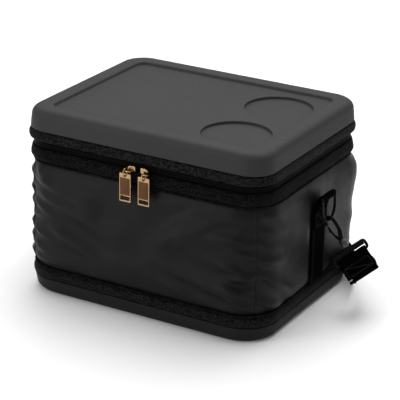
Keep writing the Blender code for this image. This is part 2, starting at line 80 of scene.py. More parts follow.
# %% Lights and floor
def add_light(name, place, aim, size, power):
    """A square soft panel at place, facing aim."""
    data = bpy.data.lights.new(name, "AREA")
    data.shape = "SQUARE"
    data.size = size
    data.energy = power
    lamp = bpy.data.objects.new(name, data)
    bpy.context.scene.collection.objects.link(lamp)
    lamp.location = place
    lamp.rotation_euler = (Vector(aim) - Vector(place)).to_track_quat("-Z", "Y").to_euler()
    return lamp


add_light("light_top", (-0.10, 0.55, 1.6), (0.0, 0.0, 0.1), 1.8, 36.0)
add_light("light_right", (2.1, 0.3, 1.0), (0.0, 0.0, 0.12), 1.0, 3.5)
add_light("light_front", (-1.3, -1.9, 0.9), (0.0, 0.0, 0.12), 1.0, 22.0)

world = bpy.data.worlds.new("studio")
bpy.context.scene.world = world
world.use_nodes = True
world.node_tree.nodes["Background"].inputs["Color"].default_value = (1.0, 1.0, 1.0, 1.0)
world.node_tree.nodes["Background"].inputs["Strength"].default_value = 0.46

bpy.ops.object.select_all(action="DESELECT")
bpy.ops.mesh.primitive_plane_add(size=14.0, location=(0.0, 0.0, -0.0004))
floor = bpy.context.object
floor.name = "floor"
floor_paint = bpy.data.materials.new("pale_floor")
floor_paint.use_nodes = True
floor_paint.node_tree.nodes["Principled BSDF"].inputs["Base Color"].default_value = (0.92, 0.92, 0.92, 1)
floor_paint.node_tree.nodes["Principled BSDF"].inputs["Roughness"].default_value = 0.6
floor.data.materials.append(floor_paint)
print("lights and floor set")

# %% [markdown]
# ## Finishes
# Each finish is a small node network on object coordinates, or on a cloth's own map, whose
# two numbers are metres across and metres along the weave.


# %% A kit for finishes
def new_finish(name, colour, roughness, metallic=0.0):
    """A material with its shader ready, and the node tree to add to."""
    finish = bpy.data.materials.new(name)
    finish.use_nodes = True
    shader = finish.node_tree.nodes["Principled BSDF"]
    shader.inputs["Base Color"].default_value = (*colour, 1.0)
    shader.inputs["Roughness"].default_value = roughness
    shader.inputs["Metallic"].default_value = metallic
    return finish, finish.node_tree, shader


def add_node(tree, kind, **settings):
    node = tree.nodes.new(kind)
    for key, value in settings.items():
        if key in node.inputs:
            node.inputs[key].default_value = value
        else:
            setattr(node, key, value)
    return node


def map_range(tree, source, low, high, to_low, to_high):
    """Source rescaled from low..high to to_low..to_high."""
    node = add_node(tree, "ShaderNodeMapRange")
    tree.links.new(source, node.inputs["Value"])
    node.inputs["From Min"].default_value = low
    node.inputs["From Max"].default_value = high
    node.inputs["To Min"].default_value = to_low
    node.inputs["To Max"].default_value = to_high
    return node.outputs["Result"]


def math_node(tree, operation, a, b=0.0):
    node = add_node(tree, "ShaderNodeMath", operation=operation)
    for i, value in enumerate((a, b)):
        if isinstance(value, (int, float)):
            node.inputs[i].default_value = value
        else:
            tree.links.new(value, node.inputs[i])
    return node.outputs[0]


def tint(tree, shader, factor, dark, light):
    """Base colour between dark and light as factor goes from 0 to 1."""
    mix = add_node(tree, "ShaderNodeMix", data_type="RGBA")
    mix.inputs["A"].default_value = (*dark, 1.0)
    mix.inputs["B"].default_value = (*light, 1.0)
    tree.links.new(factor, mix.inputs["Factor"])
    tree.links.new(mix.outputs["Result"], shader.inputs["Base Color"])


def bump(tree, shader, layers):
    """Height layers, each (height, depth in metres), one on another, into the shader's normal."""
    last = None
    for height, depth in layers:
        node = add_node(tree, "ShaderNodeBump")
        node.inputs["Strength"].default_value = 1.0
        node.inputs["Distance"].default_value = depth
        tree.links.new(height, node.inputs["Height"])
        if last is not None:
            tree.links.new(last, node.inputs["Normal"])
        last = node.outputs["Normal"]
    tree.links.new(last, shader.inputs["Normal"])


# %% Moulded shell: soft-touch black with a fine pebbled grain
def make_shell_finish(name, dark, light):
    finish, tree, shader = new_finish(name, dark, 0.5)
    place = add_node(tree, "ShaderNodeTexCoord").outputs["Object"]
    grain = add_node(tree, "ShaderNodeTexVoronoi", feature="SMOOTH_F1", Scale=900.0)
    cloud = add_node(tree, "ShaderNodeTexNoise", Scale=9.0, Detail=4.0)
    speck = add_node(tree, "ShaderNodeTexNoise", Scale=420.0, Detail=2.0)
    for node in (grain, cloud, speck):
        tree.links.new(place, node.inputs["Vector"])
    tint(tree, shader, cloud.outputs["Fac"], dark, light)
    rough = map_range(tree, speck.outputs["Fac"], 0.3, 0.7, 0.50, 0.64)
    tree.links.new(rough, shader.inputs["Roughness"])
    bump(tree, shader, [(grain.outputs["Distance"], 0.00010), (cloud.outputs["Fac"], 0.0006)])
    shader.inputs["Specular IOR Level"].default_value = 0.10
    return finish


shell_finish = make_shell_finish("moulded_shell_finish", (0.0290, 0.0278, 0.0284), (0.0370, 0.0354, 0.0362))
tray_finish = make_shell_finish("moulded_tray_finish", (0.0085, 0.0083, 0.0084), (0.0120, 0.0117, 0.0118))


# %% Body cloth: dark coated weave, slightly glossy
def weave_map(tree):
    """Metres across and along the cloth, from its own map."""
    source = add_node(tree, "ShaderNodeUVMap", uv_map="weave")
    split = add_node(tree, "ShaderNodeSeparateXYZ")
    tree.links.new(source.outputs["UV"], split.inputs["Vector"])
    return split.outputs["X"], split.outputs["Y"]


def make_body_cloth():
    finish, tree, shader = new_finish("coated_fabric_finish", (0.020, 0.020, 0.021), 0.55)
    place = add_node(tree, "ShaderNodeTexCoord").outputs["Object"]
    across, along = weave_map(tree)
    warp = math_node(tree, "SINE", math_node(tree, "MULTIPLY", across, 2 * math.pi / 0.0009))
    weft = math_node(tree, "SINE", math_node(tree, "MULTIPLY", along, 2 * math.pi / 0.0009))
    weave = math_node(tree, "MULTIPLY", warp, weft)
    cloud = add_node(tree, "ShaderNodeTexNoise", Scale=14.0, Detail=5.0)
    crease = add_node(tree, "ShaderNodeTexNoise", Scale=55.0, Detail=3.0)
    for node in (cloud, crease):
        tree.links.new(place, node.inputs["Vector"])
    tint(tree, shader, cloud.outputs["Fac"], (0.0024, 0.0024, 0.0024), (0.0046, 0.0046, 0.0046))
    rough = map_range(tree, cloud.outputs["Fac"], 0.3, 0.7, 0.36, 0.48)
    tree.links.new(rough, shader.inputs["Roughness"])
    bump(tree, shader, [(crease.outputs["Fac"], 0.0005), (weave, 0.00005)])
    shader.inputs["Specular IOR Level"].default_value = 0.13
    return finish


body_cloth = make_body_cloth()


# %% Webbing and tape: ribbed black weave
def make_webbing(name, rib, warp_pitch, depth, colour, rough, gloss, fleck_size):
    """Ribs across the webbing at pitch rib, crossed by finer warp threads."""
    finish, tree, shader = new_finish(name, colour, rough)
    across, along = weave_map(tree)
    ribs = math_node(tree, "SINE", math_node(tree, "MULTIPLY", along, 2 * math.pi / rib))
    warp = math_node(tree, "SINE", math_node(tree, "MULTIPLY", across, 2 * math.pi / warp_pitch))
    weave = math_node(tree, "MULTIPLY", ribs, warp)
    place = add_node(tree, "ShaderNodeTexCoord").outputs["Object"]
    fuzz = add_node(tree, "ShaderNodeTexNoise", Scale=700.0, Detail=3.0)
    tree.links.new(place, fuzz.inputs["Vector"])
    top = math_node(tree, "MULTIPLY_ADD", weave, 0.5)
    tree.nodes[-1].inputs[2].default_value = 0.5
    blend = math_node(tree, "MULTIPLY", top, fuzz.outputs["Fac"])
    fleck = add_node(tree, "ShaderNodeTexNoise", Scale=1.0 / fleck_size, Detail=2.0, Roughness=0.7)
    tree.links.new(add_node(tree, "ShaderNodeTexCoord").outputs["Object"], fleck.inputs["Vector"])
    patch = map_range(tree, fleck.outputs["Fac"], 0.44, 0.58, 0.0, 1.0)
    blend = map_range(tree, blend, 0.05, 0.45, 0.25, 1.0)
    blend = math_node(tree, "MULTIPLY", blend, patch)
    light = tuple(c * 19.0 for c in colour)
    tint(tree, shader, blend, tuple(c * 0.3 for c in colour), light)
    bump(tree, shader, [(weave, depth), (fuzz.outputs["Fac"], depth * 0.5)])
    shader.inputs["Specular IOR Level"].default_value = gloss
    return finish


tape_cloth = make_webbing(
    "woven_tape_finish",
    0.0030,
    0.0026,
    0.00075,
    (0.0018, 0.0017, 0.0018),
    0.62,
    0.05,
    0.0022,
)
# A darker copy of the tape finish for the lower tape: partly its own darker tone, partly painted shade cast
# by the upper tape and lid above it.
shaded_tape_cloth = make_webbing(
    "woven_tape_painted_shade_finish",
    0.0030,
    0.0026,
    0.00075,
    (0.0010, 0.0010, 0.0010),
    0.64,
    0.035,
    0.0022,
)
strap_cloth = make_webbing(
    "strap_webbing_finish",
    0.0019,
    0.0023,
    0.00038,
    (0.0002, 0.0002, 0.0002),
    0.90,
    0.012,
    0.0016,
)
print("cloth finishes ready")


# %% Metals, liner, foam and coil
def make_metal(name, colour, roughness, metallic, scale, wear):
    """Plated or enamelled metal with fine scratches and slight wear."""
    finish, tree, shader = new_finish(name, colour, roughness, metallic)
    place = add_node(tree, "ShaderNodeTexCoord").outputs["Object"]
    scratch = add_node(tree, "ShaderNodeTexNoise", Scale=scale, Detail=4.0)
    tree.links.new(place, scratch.inputs["Vector"])
    low, high = max(roughness - 0.10, 0.05), roughness + 0.14
    tree.links.new(map_range(tree, scratch.outputs["Fac"], 0.3, 0.7, low, high), shader.inputs["Roughness"])
    tint(tree, shader, scratch.outputs["Fac"], tuple(c * (1 - wear) for c in colour), colour)
    bump(tree, shader, [(scratch.outputs["Fac"], 0.00004)])
    return finish


gold = make_metal("gold_metal_finish", (0.46, 0.298, 0.150), 0.27, 1.0, 260.0, 0.25)
copper = make_metal("copper_inlay_finish", (0.13, 0.062, 0.031), 0.40, 1.0, 420.0, 0.35)
black_metal = make_metal("black_metal_finish", (0.0035, 0.0035, 0.0038), 0.26, 0.0, 300.0, 0.3)
barrel_metal = make_metal("turned_barrel_finish", (0.085, 0.085, 0.087), 0.34, 0.9, 300.0, 0.3)
coil_nylon = make_metal("zip_coil_finish", (0.0035, 0.0035, 0.0038), 0.42, 0.0, 500.0, 0.3)
for finish in (black_metal, coil_nylon):
    for node in finish.node_tree.nodes:
        if node.type == "BSDF_PRINCIPLED":
            node.inputs["Specular IOR Level"].default_value = 0.07


def make_liner_finish():
    finish, tree, shader = new_finish("silver_liner_finish", (0.62, 0.63, 0.65), 0.34, 0.55)
    place = add_node(tree, "ShaderNodeTexCoord").outputs["Object"]
    crinkle = add_node(tree, "ShaderNodeTexVoronoi", feature="SMOOTH_F1", Scale=70.0)
    fine = add_node(tree, "ShaderNodeTexNoise", Scale=160.0, Detail=4.0)
    for node in (crinkle, fine):
        tree.links.new(place, node.inputs["Vector"])
    tint(tree, shader, fine.outputs["Fac"], (0.36, 0.37, 0.39), (0.54, 0.55, 0.57))
    bump(tree, shader, [(crinkle.outputs["Distance"], 0.0016), (fine.outputs["Fac"], 0.0005)])
    return finish


def make_foam_finish():
    finish, tree, shader = new_finish("white_foam_finish", (0.78, 0.79, 0.78), 0.9)
    place = add_node(tree, "ShaderNodeTexCoord").outputs["Object"]
    cells = add_node(tree, "ShaderNodeTexVoronoi", Scale=520.0)
    tree.links.new(place, cells.inputs["Vector"])
    tint(tree, shader, cells.outputs["Distance"], (0.70, 0.71, 0.70), (0.82, 0.83, 0.82))
    bump(tree, shader, [(cells.outputs["Distance"], 0.0002)])
    return finish


liner_finish = make_liner_finish()
foam_finish = make_foam_finish()
print("finishes:", len(bpy.data.materials))

# %% [markdown]
# ## Shoulder strap
# The strap is 40 mm webbing, limp across its face and stiff across its width. It leaves the
# right-hand clip, lies on edge behind the bag, then drops flat and comes round to the left
# clip. It is swept along a given line, because cloth simulation would tear flat webbing.
# The two leads are pieces of their own.

# %% Route of the strap: each point, and the way the webbing's width runs there
LEAD_RIGHT = [
    ((0.2319, 0.0100, 0.0592), (0.627, 0.574, 0.527)),
    ((0.2328, 0.0103, 0.0578), (0.627, 0.574, 0.527)),
    ((0.2330, 0.0118, 0.0559), (0.627, 0.574, 0.527)),
    ((0.2316, 0.0145, 0.0545), (0.627, 0.574, 0.527)),
    ((0.2281, 0.0198, 0.0529), (0.60, 0.58, 0.55)),
    ((0.2210, 0.0350, 0.0512), (0.45, 0.48, 0.75)),
    ((0.2071, 0.0550, 0.0448), (0.15, 0.25, 0.96)),
    ((0.1915, 0.0780, 0.0312), (0.03, 0.08, 1.00)),
    ((0.1785, 0.1000, 0.0225), (0.00, 0.00, 1.00)),
    ((0.1610, 0.1245, 0.0209), (0.00, 0.00, 1.00)),
    ((0.1370, 0.1430, 0.0207), (0.00, -0.05, 1.00)),
]
MIDDLE = [
    ((0.1370, 0.1430, 0.0207), (0.00, -0.05, 1.00)),
    ((0.1060, 0.1585, 0.0204), (0.00, -0.16, 0.98)),
    ((0.0720, 0.1750, 0.0192), (-0.10, -0.42, 0.90)),
    ((0.0320, 0.1950, 0.0152), (-0.25, -0.68, 0.68)),
    ((-0.0120, 0.2150, 0.0092), (-0.38, -0.83, 0.40)),
    ((-0.0600, 0.2310, 0.0036), (-0.30, -0.94, 0.12)),
    ((-0.1120, 0.2400, 0.0016), (-0.12, -0.99, 0.00)),
    ((-0.1650, 0.2390, 0.0016), (0.08, -0.99, 0.02)),
    ((-0.2130, 0.2230, 0.0040), (0.46, -0.88, 0.12)),
    ((-0.2430, 0.1930, 0.0062), (0.84, -0.48, 0.22)),
    ((-0.2500, 0.1580, 0.0040), (0.98, -0.05, 0.12)),
    ((-0.2440, 0.1250, 0.0018), (0.98, 0.20, 0.02)),
]
LEAD_LEFT = [
    ((-0.2440, 0.1250, 0.0018), (0.98, 0.20, 0.02)),
    ((-0.2375, 0.0960, 0.0016), (0.97, 0.24, 0.00)),
    ((-0.2255, 0.0660, 0.0018), (0.95, 0.30, 0.00)),
    ((-0.2160, 0.0440, 0.0044), (0.99, -0.08, -0.03)),
    ((-0.2205, 0.0240, 0.0125), (0.88, -0.45, -0.12)),
    ((-0.2225, 0.0135, 0.0250), (0.72, -0.67, -0.20)),
    ((-0.2185, 0.0103, 0.0380), (0.61, -0.75, -0.25)),
    ((-0.2138, 0.0100, 0.0484), (0.587, -0.766, -0.261)),
]
WEB_WIDTH = 0.040
WEB_THICK = 0.0018


# %% Sweeping flat webbing along a line
def smooth_line(points, steps):
    """A Catmull-Rom curve through the points."""
    points = [Vector(p) for p in points]
    line = []
    for i in range(len(points) - 1):
        before, start = points[max(i - 1, 0)], points[i]
        end, after = points[i + 1], points[min(i + 2, len(points) - 1)]
        for k in range(steps):
            t = k / steps
            line.append(
                0.5
                * (
                    2 * start
                    + (end - before) * t
                    + (2 * before - 5 * start + 4 * end - after) * t * t
                    + (3 * start - before - 3 * end + after) * t * t * t
                )
            )
    line.append(points[-1])
    return line


def place_mesh(name, verts, faces, finish):
    """A piece at the origin with its place in its mesh."""
    mesh = bpy.data.meshes.new(name)
    mesh.from_pydata([tuple(v) for v in verts], [], faces)
    mesh.materials.append(finish)
    piece = bpy.data.objects.new(name, mesh)
    bpy.context.scene.collection.objects.link(piece)
    return piece


def webbing(name, centres, facings, width, thickness, finish, edge=0.35, closed_ends=True):
    """Webbing swept along centres; facings say which way its width runs. It carries the weave map."""
    thick = thickness / 2
    section = []
    for u, t in (
        (-1, edge), (-0.93, 0.9), (-0.86, 1), (-0.5, 1), (0, 1), (0.5, 1), (0.86, 1), (0.93, 0.9),
        (1, edge),
    ):
        section.append((u, t * thick))
    section += [(u, -t) for u, t in reversed(section)]
    ring = len(section)
    verts, along = [], [0.0]
    count = len(centres)
    halves = [w / 2 for w in width] if isinstance(width, list) else [width / 2] * count
    for i, centre in enumerate(centres):
        before, after = centres[max(i - 1, 0)], centres[min(i + 1, count - 1)]
        forward = (after - before).normalized()
        across = (facings[i] - forward * facings[i].dot(forward)).normalized()
        up = forward.cross(across)
        verts += [centre + across * u * halves[i] + up * t for u, t in section]
        if i:
            along.append(along[-1] + (centre - centres[i - 1]).length)
    faces = []
    for i in range(count - 1):
        for k in range(ring):
            a, b = i * ring + k, i * ring + (k + 1) % ring
            faces.append((a, b, b + ring, a + ring))
    if closed_ends:
        faces.append(tuple(reversed(range(ring))))
        faces.append(tuple((count - 1) * ring + k for k in range(ring)))
    piece = place_mesh(name, verts, faces, finish)
    layer = piece.data.uv_layers.new(name="weave")
    for loop in piece.data.loops:
        i, k = divmod(loop.vertex_index, ring)
        layer.data[loop.index].uv = (section[k][0] * halves[i], along[i])
    recalculate(piece)
    for polygon in piece.data.polygons:
        polygon.use_smooth = True
    return piece


def recalculate(piece):
    """Faces of a closed piece turned outwards."""
    shape = bmesh.new()
    shape.from_mesh(piece.data)
    bmesh.ops.recalc_face_normals(shape, faces=shape.faces)
    shape.to_mesh(piece.data)
    shape.free()


# %% The whole line, and the stretch of it that stays with the bag
STEPS = 6
WHOLE = LEAD_RIGHT + MIDDLE[1:] + LEAD_LEFT[1:]
whole_line = smooth_line([p for p, _ in WHOLE], STEPS)
whole_facings = smooth_line([f for _, f in WHOLE], STEPS)
leaves_bag = 8 * STEPS
reaches_bag = (len(LEAD_RIGHT) + len(MIDDLE) - 2 + 1) * STEPS
middle_line = whole_line[leaves_bag : reaches_bag + 1]
middle_facings = whole_facings[leaves_bag : reaches_bag + 1]
strap_middle = webbing("shoulder_strap", middle_line, middle_facings, WEB_WIDTH, WEB_THICK, strap_cloth)
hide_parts("strap_main")
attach(strap_middle, "body")


# %% The leads, cut into three stretches each
def make_lead(side, line, facings, cuts):
    """Stretches from the bag's body out to the strap's end: body to ring, ring to hook, hook to swivel."""
    edges = [0] + [round(c * (len(line) - 1)) for c in cuts] + [len(line) - 1]
    made = []
    for k in range(3):
        a, b = edges[k], edges[k + 1]
        part_line, part_facing = line[a : b + 1], facings[a : b + 1]
        name = f"strap_lead_{side}_{k}"
        piece = webbing(name, part_line, part_facing, WEB_WIDTH, WEB_THICK, strap_cloth, closed_ends=False)
        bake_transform(piece)
        made.append(piece)
    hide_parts("strap_lead_" + side)
    return made


right_line, right_facings = whole_line[: leaves_bag + 1], whole_facings[: leaves_bag + 1]
lead_right = make_lead("right", right_line[::-1], right_facings[::-1], (0.25, 0.55))
lead_left = make_lead("left", whole_line[reaches_bag:], whole_facings[reaches_bag:], (0.35, 0.65))
print("lead stretches:", len(lead_right) + len(lead_left))

# %% [markdown]
# ## Rings round the bag
# Lid, tray, tapes and walls are all rounded rectangles seen from above, so they are lofted
# from one kind of ring. Every ring has the same number of points in the same order, corner
# to corner, which keeps the loft square. A ring starts as a circle, and each next one is
# extruded from it.

# %% Overall sizes and the ring
BAG_W, BAG_D, BAG_H = 0.332, 0.262, 0.237
ALONG_X, ALONG_Y, CORNER = 60, 42, 14


def ring_points(inset, radius, z, width=BAG_W, depth=BAG_D, counts=(ALONG_X, ALONG_Y, CORNER)):
    """A rounded rectangle that lies inset inside the outline, from the middle of the back, left first."""
    nx, ny, nc = counts
    cx, cy = width / 2 - inset - radius, depth / 2 - inset - radius
    sides = [
        ((0.0, cy + radius), (-cx, cy + radius), nx // 2, (-cx, cy), 90),
        ((-cx - radius, cy), (-cx - radius, -cy), ny, (-cx, -cy), 180),
        ((-cx, -cy - radius), (cx, -cy - radius), nx, (cx, -cy), 270),
        ((cx + radius, -cy), (cx + radius, cy), ny, (cx, cy), 0),
        ((cx, cy + radius), (0.0, cy + radius), nx // 2, None, 0),
    ]
    points = []
    for start, end, steps, centre, first in sides:
        for k in range(steps):
            t = k / steps
            points.append((start[0] + (end[0] - start[0]) * t, start[1] + (end[1] - start[1]) * t, z))
        if centre:
            for k in range(nc):
                a = math.radians(first + 90 * k / nc)
                points.append((centre[0] + radius * math.cos(a), centre[1] + radius * math.sin(a), z))
    return [Vector(p) for p in points]


def deselect():
    bpy.ops.object.select_all(action="DESELECT")


def loft(name, rings, finish, cap_start=False, cap_end=False, cyclic=False):
    """Rings joined one to the next by extruding: the first is a circle set onto its points."""
    deselect()
    count = len(rings[0])
    bpy.ops.mesh.primitive_circle_add(vertices=count, radius=0.1, location=(0.0, 0.0, 0.0))
    piece = bpy.context.object
    piece.name = name
    piece.data.name = name
    for vertex, point in zip(piece.data.vertices, rings[0]):
        vertex.co = point
    bpy.ops.object.mode_set(mode="EDIT")
    bpy.ops.mesh.select_all(action="SELECT")
    for _ in rings[1:]:
        bpy.ops.mesh.extrude_region_move(TRANSFORM_OT_translate={"value": (0.0, 0.0, 0.001)})
    bpy.ops.object.mode_set(mode="OBJECT")
    for i, ring in enumerate(rings):
        for k, point in enumerate(ring):
            piece.data.vertices[i * count + k].co = point
    shape = bmesh.new()
    shape.from_mesh(piece.data)
    shape.verts.ensure_lookup_table()
    if cap_start:
        shape.faces.new([shape.verts[k] for k in range(count)])
    if cap_end:
        shape.faces.new([shape.verts[(len(rings) - 1) * count + k] for k in range(count)])
    if cyclic:
        last = (len(rings) - 1) * count
        for k in range(count):
            m = (k + 1) % count
            shape.faces.new([shape.verts[k], shape.verts[m], shape.verts[last + m], shape.verts[last + k]])
    bmesh.ops.recalc_face_normals(shape, faces=shape.faces)
    shape.to_mesh(piece.data)
    shape.free()
    piece.data.materials.append(finish)
    return piece


def smooth(piece, degrees=35.0):
    deselect()
    piece.select_set(True)
    bpy.context.view_layer.objects.active = piece
    bpy.ops.object.shade_smooth_by_angle(angle=math.radians(degrees))


def join(name, parts):
    """Several meshes made one piece."""
    deselect()
    for part in parts:
        part.select_set(True)
    bpy.context.view_layer.objects.active = parts[0]
    if len(parts) > 1:
        bpy.ops.object.join()
    parts[0].name = name
    return parts[0]


def even_normals(piece, degrees=40.0):
    """Smooth shading in which the large flat faces stay flat."""
    smooth(piece, degrees)
    weigh = piece.modifiers.new("weigh", "WEIGHTED_NORMAL")
    weigh.weight = 100
    weigh.keep_sharp = True
    apply_modifiers(piece)


def apply_modifiers(piece):
    deselect()
    piece.select_set(True)
    bpy.context.view_layer.objects.active = piece
    for modifier in list(piece.modifiers):
        bpy.ops.object.modifier_apply(modifier=modifier.name)


def dress(piece, body):
    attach(piece, body)


print("ring of", len(ring_points(0.0, 0.03, 0.0)), "points")

# %% [markdown]
# ## Lid
# The lid is one moulding: walls that lean in a little, a soft roll round the top, a shallow
# panel, and two cup recesses in the panel. The roll is an arc of rings; the cups are cut with
# cylinders, because a circle never lines up with the lid's own rings.

# %% Lid shell
ROLL = 0.010
LID_LOW = 0.2111
lid_rows = [(0.0044, 0.0268, LID_LOW), (0.0010, 0.0300, LID_LOW), (0.0002, 0.0308, LID_LOW + 0.0006)]
lid_rows += [(0.0002, 0.0310, 0.2140), (0.0006, 0.0310, 0.2200), (0.0012, 0.0310, BAG_H - ROLL)]
for k in range(1, 10):
    a = math.radians(10 * k)
    step_in = ROLL * (1 - math.cos(a))
    lid_rows.append((0.0012 + step_in, 0.0310 - 0.6 * step_in, BAG_H - ROLL + ROLL * math.sin(a)))
lid_rows += [(0.0150, 0.0225, 0.23705), (0.0200, 0.0175, 0.2370), (0.0232, 0.0150, 0.2367)]
lid_rows += [(0.0250, 0.0136, 0.2360), (0.0258, 0.0127, 0.2350), (0.0261, 0.0122, 0.2338)]
lid_rows += [(0.0265, 0.0118, 0.2329), (0.0272, 0.0111, 0.2325), (0.0280, 0.0105, 0.2325)]
lid = loft("lid", [ring_points(*row) for row in lid_rows], shell_finish, cap_end=True)


# %% Cup recesses
CUPS = ((0.0915, -0.0600), (0.0915, 0.0475))
CUP_R = 0.042
CUP_FLOOR = 0.2290


def cut_cups(shell, places):
    """Round recesses, all cut in one go."""
    cutters = []
    for x, y in places:
        deselect()
        bpy.ops.mesh.primitive_cylinder_add(
            vertices=96,
            radius=CUP_R,
            depth=0.010,
            location=(x, y, CUP_FLOOR + 0.005),
        )
        bpy.ops.object.transform_apply(location=True, rotation=False, scale=False)
        cutters.append(bpy.context.object)
    cutter = join("cup_cutter", cutters)
    cut = shell.modifiers.new("cup", "BOOLEAN")
    cut.operation = "DIFFERENCE"
    cut.solver = "EXACT"
    cut.object = cutter
    apply_modifiers(shell)
    bpy.data.objects.remove(cutter, do_unlink=True)


def round_circle(shell, x, y, z, radius, width):
    """Bevels the edges of one circle on the shell."""
    deselect()
    shell.select_set(True)
    bpy.context.view_layer.objects.active = shell
    for polygon in shell.data.polygons:
        polygon.select = False
    for vertex in shell.data.vertices:
        vertex.select = False
    for edge in shell.data.edges:
        ends = [shell.data.vertices[v].co for v in edge.vertices]
        edge.select = all(
            abs(p.z - z) < 0.0002 and abs(math.hypot(p.x - x, p.y - y) - radius) < 0.0002 for p in ends
        )
    bpy.ops.object.mode_set(mode="EDIT")
    bpy.ops.mesh.select_mode(type="EDGE")
    bpy.ops.mesh.bevel(offset=width, segments=4, affect="EDGES")
    bpy.ops.object.mode_set(mode="OBJECT")


close = bmesh.new()
close.from_mesh(lid.data)
bmesh.ops.holes_fill(close, edges=close.edges, sides=0)
bmesh.ops.recalc_face_normals(close, faces=close.faces)
close.to_mesh(lid.data)
close.free()
cut_cups(lid, CUPS)
for x, y in CUPS:
    round_circle(lid, x, y, 0.2325, CUP_R, 0.0011)
    round_circle(lid, x, y, CUP_FLOOR, CUP_R, 0.0010)
even_normals(lid)
for x, y in CUPS:
    _, where, facing, _ = lid.ray_cast(Vector((x + 0.01, y, 0.3)), Vector((0, 0, -1)))
    print("cup floor at", round(where.z, 4), "facing up:", facing.z > 0.9)
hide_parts("lid_shell")
dress(lid, "lid")
print("lid faces:", len(lid.data.polygons))

# %% [markdown]
# ## Base tray
# The tray is the lid's partner: the same loft, with a rounded foot and walls that swell a
# little towards the tape.

# %% Tray shell
FOOT = 0.0085
tray_rows = [(0.0160, 0.0350, 0.0)]
for k in range(0, 10):
    a = math.radians(10 * k)
    step_in = FOOT * (1 - math.sin(a))
    tray_rows.append((step_in - 0.0006, 0.0450 - 0.6 * step_in, FOOT * (1 - math.cos(a))))
tray_rows += [(-0.0012, 0.0450, 0.0130), (-0.0019, 0.0450, 0.0180), (-0.0015, 0.0450, 0.0190)]
tray_rows += [(-0.0004, 0.0440, 0.0193), (0.0040, 0.0410, 0.0193), (0.0040, 0.0410, 0.0060)]
tray = loft("base_shell", [ring_points(*row) for row in tray_rows], tray_finish, cap_start=True, cap_end=True)
even_normals(tray)
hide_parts("base_tray")
dress(tray, "body")

# %% [markdown]
# ## Fabric walls
# The wall cloth is cut a little too big for the foam behind it, so it buckles. It is a ring
# of cloth held at both seams, grown by a few per cent and simulated against the foam. Real
# coated cloth also pulls hard at the corner seams, and those long folds are laid in
# afterwards: each is a soft ridge along a line on the wall.

# %% The wall cloth at rest
CLOTH_LOW, CLOTH_HIGH = 0.0326, 0.1727
CLOTH_ROWS = 40
CLOTH_FRAMES = 14
RING = len(ring_points(0.0, 0.03, 0.0))


def belly(t):
    """How far outside the outline the cloth stands at height share t."""
    return -0.0018 + 0.0040 * min(1.0, min(t, 1 - t) / 0.10) ** 0.6


def cloth_rings(push=0.0):
    rings = []
    for i in range(CLOTH_ROWS + 1):
        t = i / CLOTH_ROWS
        out = belly(t) + push
        rings.append(ring_points(-out, 0.0450, CLOTH_LOW + (CLOTH_HIGH - CLOTH_LOW) * t))
    return rings


walls = loft("wall_cloth", cloth_rings(), body_cloth)


# %% Where each point is on the unrolled wall
def round_lengths(ring):
    """Distance round the ring from its first point, for each point."""
    lengths = [0.0]
    for a, b in zip(ring, ring[1:]):
        lengths.append(lengths[-1] + (b - a).length)
    return lengths


ROUND = round_lengths(ring_points(0.0, 0.0450, 0.0))
FULL_ROUND = ROUND[-1] + 0.003


def corner_at(index):
    """Ring index of the middle of a corner: 0 back left, 1 front left, 2 front right, 3 back right."""
    starts = [ALONG_X // 2, ALONG_X // 2 + CORNER + ALONG_Y]
    starts.append(starts[1] + CORNER + ALONG_X)
    starts.append(starts[2] + CORNER + ALONG_Y)
    return starts[index] + CORNER // 2


SEAM_COLUMNS = [corner_at(k) for k in range(4)]
print("seams at columns", SEAM_COLUMNS)


# %% Let the cloth buckle
def simulate_walls(cloth_piece):
    """Cloth grown a few per cent between its held seams, over the foam."""
    foam = loft("foam_form", cloth_rings(-0.0012), body_cloth)
    foam.modifiers.new("collide", "COLLISION")
    foam.collision.thickness_outer = 0.0005
    cloth_piece.shape_key_add(name="in_place")
    cut = cloth_piece.shape_key_add(name="as_cut")
    held = cloth_piece.vertex_groups.new(name="held")
    for vertex in cloth_piece.data.vertices:
        row, column = divmod(vertex.index, RING)
        edge = min(row, CLOTH_ROWS - row)
        beside_web = abs(vertex.co.x) > 0.16 and abs(vertex.co.y - 0.010) < 0.020
        near_seam = min(abs(column - c) for c in SEAM_COLUMNS)
        if edge <= 1 or beside_web:
            held.add([vertex.index], 1.0, "REPLACE")
        elif near_seam == 0:
            held.add([vertex.index], 0.55, "REPLACE")
        spare = 0.055 * min(1.0, near_seam / 8.0) + 0.006
        cut.data[vertex.index].co.z = CLOTH_LOW + (vertex.co.z - CLOTH_LOW) * (1 + spare)
        cut.data[vertex.index].co.x *= 1.012
        cut.data[vertex.index].co.y *= 1.012
    for vertex in cloth_piece.data.vertices:
        uneven = 0.0006 * noise.noise(vertex.co / 0.03)
        cut.data[vertex.index].co.z += uneven
    cloth = cloth_piece.modifiers.new("cloth", "CLOTH")
    settings = cloth.settings
    settings.quality = 6
    settings.rest_shape_key = cut
    settings.mass = 0.25
    settings.tension_stiffness = settings.compression_stiffness = 18.0
    settings.shear_stiffness = 6.0
    settings.bending_stiffness = 1.6
    settings.vertex_group_mass = "held"
    settings.pin_stiffness = 1.0
    settings.effector_weights.gravity = 0.3
    cloth.collision_settings.distance_min = 0.0006
    cloth.collision_settings.use_self_collision = False
    for frame_number in range(1, CLOTH_FRAMES + 1):
        bpy.context.scene.frame_set(frame_number)
    now = cloth_piece.evaluated_get(bpy.context.evaluated_depsgraph_get())
    settled = [v.co.copy() for v in now.data.vertices]
    cloth_piece.modifiers.clear()
    cloth_piece.shape_key_clear()
    for vertex, place in zip(cloth_piece.data.vertices, settled):
        vertex.co = place
    bpy.context.scene.frame_set(1)
    bpy.data.objects.remove(foam, do_unlink=True)


